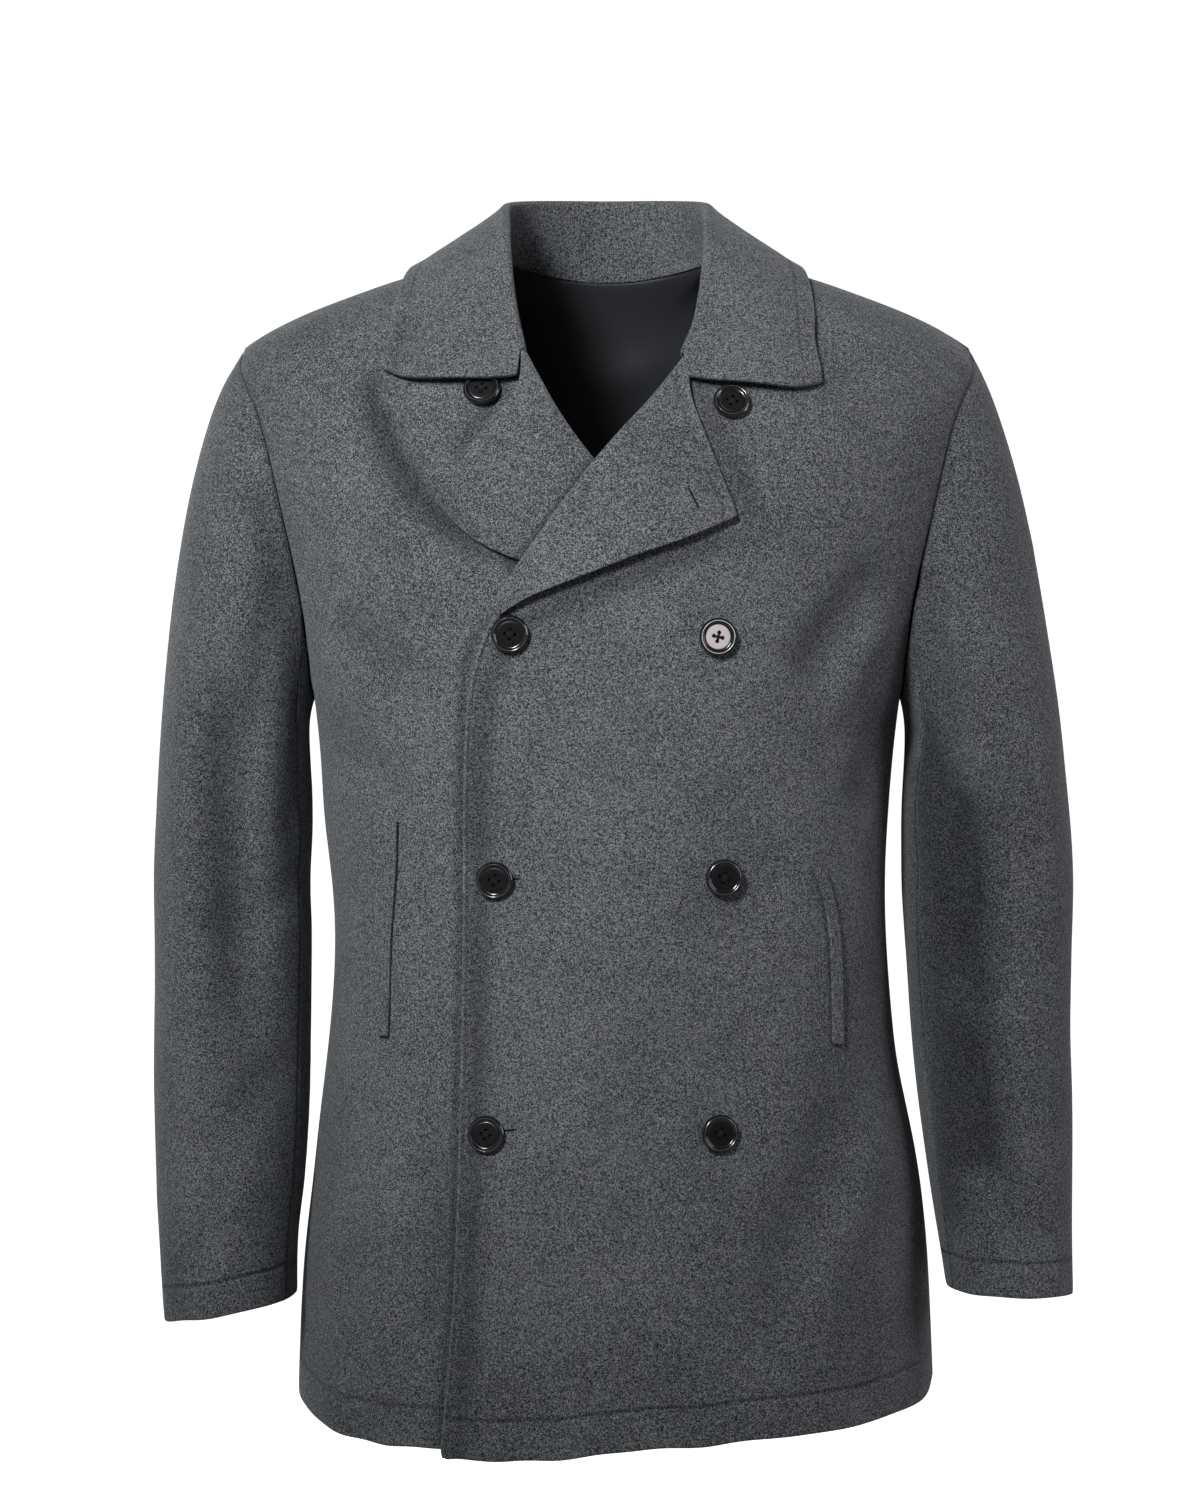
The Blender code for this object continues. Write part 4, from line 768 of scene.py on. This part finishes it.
def twisted_thread(name, light_tone, gloss, rough, rope=0.0, **twist):
    """Black thread, its twist seen as fine slanting bands, and as relief where it is thick."""
    made, tree, shader = material(name, Specular_IOR_Level=gloss, Roughness=rough)
    bands = pattern(tree, "TexWave", **twist)
    tree.links.new(blend(tree, bands, (0.004, 0.004, 0.004), light_tone), shader.inputs["Base Color"])
    if rope:
        tree.links.new(relief(tree, bands, strength=rope, distance=0.0003), shader.inputs["Normal"])
    return made


# The crest tones are painted highlights round the rims: faint on the black buttons, near white on the
# one with the pale dish.
button_black = resin("button_resin", (0.008, 0.008, 0.009), (0.11, 0.11, 0.115))
button_pale = resin("button_resin_pale_dish", (0.62, 0.55, 0.56), (0.95, 0.93, 0.94))
button_thread = twisted_thread("button_thread", (0.014, 0.014, 0.015), gloss=0.3, rough=0.7,
                               in_Scale=900.0, in_Distortion=2.0)

# Half the section of a button in millimetres, from the middle of its back round the rim to its dish.
button_section = [(0, 0.3), (9.6, 0.3), (10.9, 0.7), (11.8, 1.4), (12.0, 2.1), (11.8, 2.8),
                  (11.3, 3.4), (10.8, 3.9), (10.55, 4.1), (10.35, 4.2), (10.1, 4.12), (9.7, 3.8),
                  (9.4, 3.4), (8.9, 2.95), (8.3, 2.75), (7.9, 2.8), (7.5, 2.95), (6.6, 3.0),
                  (4.0, 2.9), (0, 2.85)]


def turned_button(name):
    """A button on its back at the origin, facing up, in metres."""
    bm = bmesh.new()
    corners = [bm.verts.new((radius / 1000, 0, height / 1000)) for radius, height in button_section]
    line = [bm.edges.new(pair) for pair in zip(corners, corners[1:])]
    bmesh.ops.spin(bm, geom=corners + line, cent=(0, 0, 0), axis=(0, 0, 1), angle=2 * math.pi, steps=64,
                   use_merge=True)
    bmesh.ops.remove_doubles(bm, verts=bm.verts, dist=0.00001)
    bmesh.ops.recalc_face_normals(bm, faces=bm.faces)
    return mesh_from(bm, name)


def bore_holes(button, away, radius):
    """Four holes in a cross through the middle of a button."""
    bm = bmesh.new()
    for across, up in ((-away, 0), (away, 0), (0, -away), (0, away)):
        bmesh.ops.create_cone(bm, cap_ends=True, segments=20, radius1=radius, radius2=radius,
                              depth=0.02, matrix=Matrix.Translation((across, up, 0)))
    drills = put("drill", mesh_from(bm, "drill"))
    bored = button.modifiers.new("holes", "BOOLEAN")
    bored.operation = "DIFFERENCE"
    bored.solver = "EXACT"
    bored.object = drills
    bpy.context.view_layer.update()
    made = bpy.data.meshes.new_from_object(button.evaluated_get(bpy.context.evaluated_depsgraph_get()))
    button.modifiers.clear()
    bpy.data.objects.remove(drills)
    button.data = made


def sewing_thread(name):
    """The strands that cross over the dish of a button, from hole to hole."""
    bm = bmesh.new()
    strand_radius, strand_apart, over_dish, strand_rise = 0.0004, 0.00042, 0.0030, 0.0002
    for layer, quarter in enumerate((0, math.pi / 2)):
        for shift in (-strand_apart, strand_apart):
            bmesh.ops.create_uvsphere(bm, u_segments=10, v_segments=8, radius=strand_radius,
                                      matrix=Matrix.Rotation(quarter, 4, "Z")
                                      @ Matrix.Translation((shift, 0, over_dish + strand_rise * layer))
                                      @ Matrix.Diagonal((1, 7.2, 1.2, 1)))
    return mesh_from(bm, name)


dish_radius, crest_inner, crest_outer, crest_height = 0.0076, 0.0102, 0.0105, 0.004
for name in sorted(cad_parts):
    if not name.startswith("button_"):
        continue
    points = np.array([vertex.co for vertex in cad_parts[name].data.vertices])
    middle = (points.max(axis=0) + points.min(axis=0)) / 2
    _, _, ways = np.linalg.svd(points - points.mean(axis=0), full_matrices=False)
    facing = Vector(ways[2]) if ways[2][1] < 0 else -Vector(ways[2])
    heights = (points - middle) @ np.array(facing)
    base = Vector(middle) + float(heights.min()) * facing
    stand = facing.to_track_quat("Z", "Y").to_matrix().to_4x4()
    sewn_turn = sum(map(ord, name)) % 36 - 18  # in degrees: no two are sewn on quite the same way up
    place = Matrix.Translation(base) @ stand @ Matrix.Rotation(math.radians(sewn_turn), 4, "Z")

    button = put(name + "_turned", turned_button(name + "_turned"))
    bore_holes(button, away=0.0028, radius=0.0013)
    made = button.data
    made.name = name + "_turned"
    dish = made.attributes.new("dish", "FLOAT", "POINT")
    # Where the rim's painted highlight lies: on its crest.
    crest_highlight = made.attributes.new("crest_highlight", "FLOAT", "POINT")
    for vertex, dish_share, crest_highlight_share in zip(made.vertices, dish.data, crest_highlight.data):
        reach = math.hypot(vertex.co.x, vertex.co.y)
        on_crest = crest_inner < reach < crest_outer and vertex.co.z > crest_height
        dish_share.value = 1.0 if reach < dish_radius and vertex.co.z > 0.001 else 0.0
        crest_highlight_share.value = 1.0 if on_crest else 0.0
    made.transform(place)
    made.materials.clear()
    made.materials.append(button_pale if name == "button_upper_left" else button_black)
    made.shade_smooth()
    made.set_sharp_from_angle(angle=math.radians(38))
    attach(button, "root")
    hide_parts(name)

    strands = sewing_thread(name + "_thread")
    strands.transform(place)
    strands.materials.append(button_thread)
    strands.shade_smooth()
    thread = put(name + "_thread", strands)
    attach(thread, "root")

# ---- The buttonholes
# Slits worked round with thread: one in the lapel, and one at each of the two lower buttons of the lap,
# where the end of the slit shows beside the button.
hole_thread = twisted_thread("buttonhole_thread", (0.016, 0.016, 0.018), gloss=0.2, rough=0.8, rope=0.7,
                             in_Scale=700.0, in_Distortion=3.0, in_Detail=2.0)


def worked_slit(name, cloth, start, end):
    """A narrow ring of thread on the cloth, round the line between two points (x, z) in millimetres."""
    bm = bmesh.new()
    steps, sides = 26, 8
    half_width, thread_radius, lift = 0.0003, 0.00036, 0.0001
    middle = (Vector((start[0], 0, start[1])) + Vector((end[0], 0, end[1]))) / 2000
    along = Vector((end[0] - start[0], 0, end[1] - start[1])) / 2000
    across = Vector((along.z, 0, -along.x)).normalized()
    rings = []
    for step in range(steps):
        angle = 2 * math.pi * step / steps
        flat = middle + along * math.cos(angle) + across * half_width * math.sin(angle)
        _, spot, normal, _ = cloth.ray_cast((flat.x, -1.0, flat.z), (0, 1, 0))
        rings.append((spot + normal * lift, normal))
    corners = []
    for step, (spot, normal) in enumerate(rings):
        forward = (rings[(step + 1) % steps][0] - rings[step - 1][0]).normalized()
        aside = forward.cross(normal).normalized()
        turns = np.linspace(0, 2 * math.pi, sides, endpoint=False)
        ways = [math.cos(turn) * aside + math.sin(turn) * normal for turn in turns]
        corners.append([bm.verts.new(spot + thread_radius * way) for way in ways])
    for ring, following in zip(corners, corners[1:] + corners[:1]):
        for spot in range(sides):
            after = (spot + 1) % sides
            bm.faces.new((ring[spot], ring[after], following[after], following[spot]))
    bmesh.ops.recalc_face_normals(bm, faces=bm.faces)
    return mesh_from(bm, name)


for name, panel, start, end in (("buttonhole_lapel", "lapel_left", (51.0, -160.5), (57.6, -173.2)),
                                ("buttonhole_middle", "front_left", (-68.0, -406.5), (-54.5, -406.0)),
                                ("buttonhole_lower", "front_left", (-74.0, -565.5), (-57.0, -563.5))):
    slit = worked_slit(name, bpy.data.objects[panel + "_cloth"], start, end)
    slit.shade_smooth()
    slit.materials.append(hole_thread)
    hole = put(name, slit)
    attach(hole, "root")

# ---- The studio
# A floor of pale paper that curves up into a backdrop, white to the eye but dim as a source of light, a
# key lamp from the upper left, soft lamps round the coat and a level camera ahead of it.
bm = bmesh.new()
floor_height, floor_front, floor_half_width, backdrop_top = -1.16, -6.0, 8.0, 6.0
bend_start, bend_radius = 2.4, 1.6
turns = np.linspace(0.2, math.pi / 2, 10)
profile = [(floor_front, floor_height), (bend_start, floor_height)]
profile += [(bend_start + bend_radius * math.sin(turn),
             floor_height + bend_radius * (1 - math.cos(turn))) for turn in turns]
profile += [(bend_start + bend_radius, backdrop_top)]
spine = [bm.verts.new((-floor_half_width, y, z)) for y, z in profile]
line = [bm.edges.new(pair) for pair in zip(spine, spine[1:])]
swept = bmesh.ops.extrude_edge_only(bm, edges=line)
far_side = [part for part in swept["geom"] if isinstance(part, bmesh.types.BMVert)]
bmesh.ops.translate(bm, verts=far_side, vec=(2 * floor_half_width, 0, 0))
bmesh.ops.recalc_face_normals(bm, faces=bm.faces)
floor = put("studio_floor", mesh_from(bm, "studio_floor"))
floor.data.shade_smooth()
paper, tree, shader = material("studio_paper", Base_Color=(0.55, 0.55, 0.55, 1), Roughness=0.9,
                               Emission_Color=(1, 1, 1, 1))
tree.links.new(node(tree, "LightPath").outputs["Is Camera Ray"], shader.inputs["Emission Strength"])
floor.data.materials.append(paper)

world = bpy.data.worlds.new("studio_world")
bpy.context.scene.world = world
world.use_nodes = True
tree, sky = world.node_tree, world.node_tree.nodes["Background"].inputs
sky["Color"].default_value = (1, 1, 1, 1)
dim = 0.05  # the studio's strength as a source of light; to the eye it is 1
seen = maths(tree, "MULTIPLY", node(tree, "LightPath").outputs["Is Camera Ray"], 1 - dim)
tree.links.new(maths(tree, "ADD", seen, dim), sky["Strength"])


def aim(stand, place, target):
    stand.location = place
    stand.rotation_euler = (Vector(target) - Vector(place)).to_track_quat("-Z", "Y").to_euler()


def softbox(name, place, target, width, height, power, tint=(1, 1, 1)):
    lamp = bpy.data.lights.new(name, "AREA")
    lamp.shape = "RECTANGLE"
    lamp.size, lamp.size_y = width, height
    lamp.energy = power
    lamp.color = tint
    stand = put(name, lamp)
    stand.visible_camera = False
    aim(stand, place, target)


softbox("front", (-0.6, -2.6, 0.7), (0, 0, -0.35), 0.8, 0.8, 5, (1.0, 0.985, 1.0))
softbox("side_right", (1.8, -0.5, 0.1), (0.25, 0, -0.4), 0.6, 1.2, 9, (1.0, 0.95, 1.0))
softbox("side_left", (-1.8, -0.5, 0.1), (-0.25, 0, -0.4), 0.6, 1.2, 0.9, (0.96, 1.0, 1.0))
softbox("back_left", (-1.3, 2.0, 0.7), (0, 0, -0.35), 1.0, 1.0, 34)
softbox("back_right", (1.4, 1.9, 0.4), (0, 0, -0.35), 1.0, 1.0, 18)
key = bpy.data.lights.new("key", "SPOT")
key.energy = 420
key.color = (0.96, 1.0, 1.0)
key.shadow_soft_size = 0.4
key.spot_size = math.radians(44)
key.spot_blend = 1.0
stand = put("key", key)
aim(stand, (-0.85, -1.75, 0.75), (-0.085, -0.12, -0.16))
stand.scale = (0.335, 0.90, 1.0)

camera_data = bpy.data.cameras.new("camera")
camera_data.sensor_fit = "VERTICAL"
camera_data.sensor_height = 24.0
camera_data.lens = 60.0
camera = put("camera", camera_data)
camera.location = (-0.0047, -2.5, -0.325)
camera.rotation_euler = (math.radians(90), 0, 0)
bpy.context.scene.camera = camera
bpy.context.scene.view_settings.view_transform = "Standard"

bpy.context.view_layer.update()
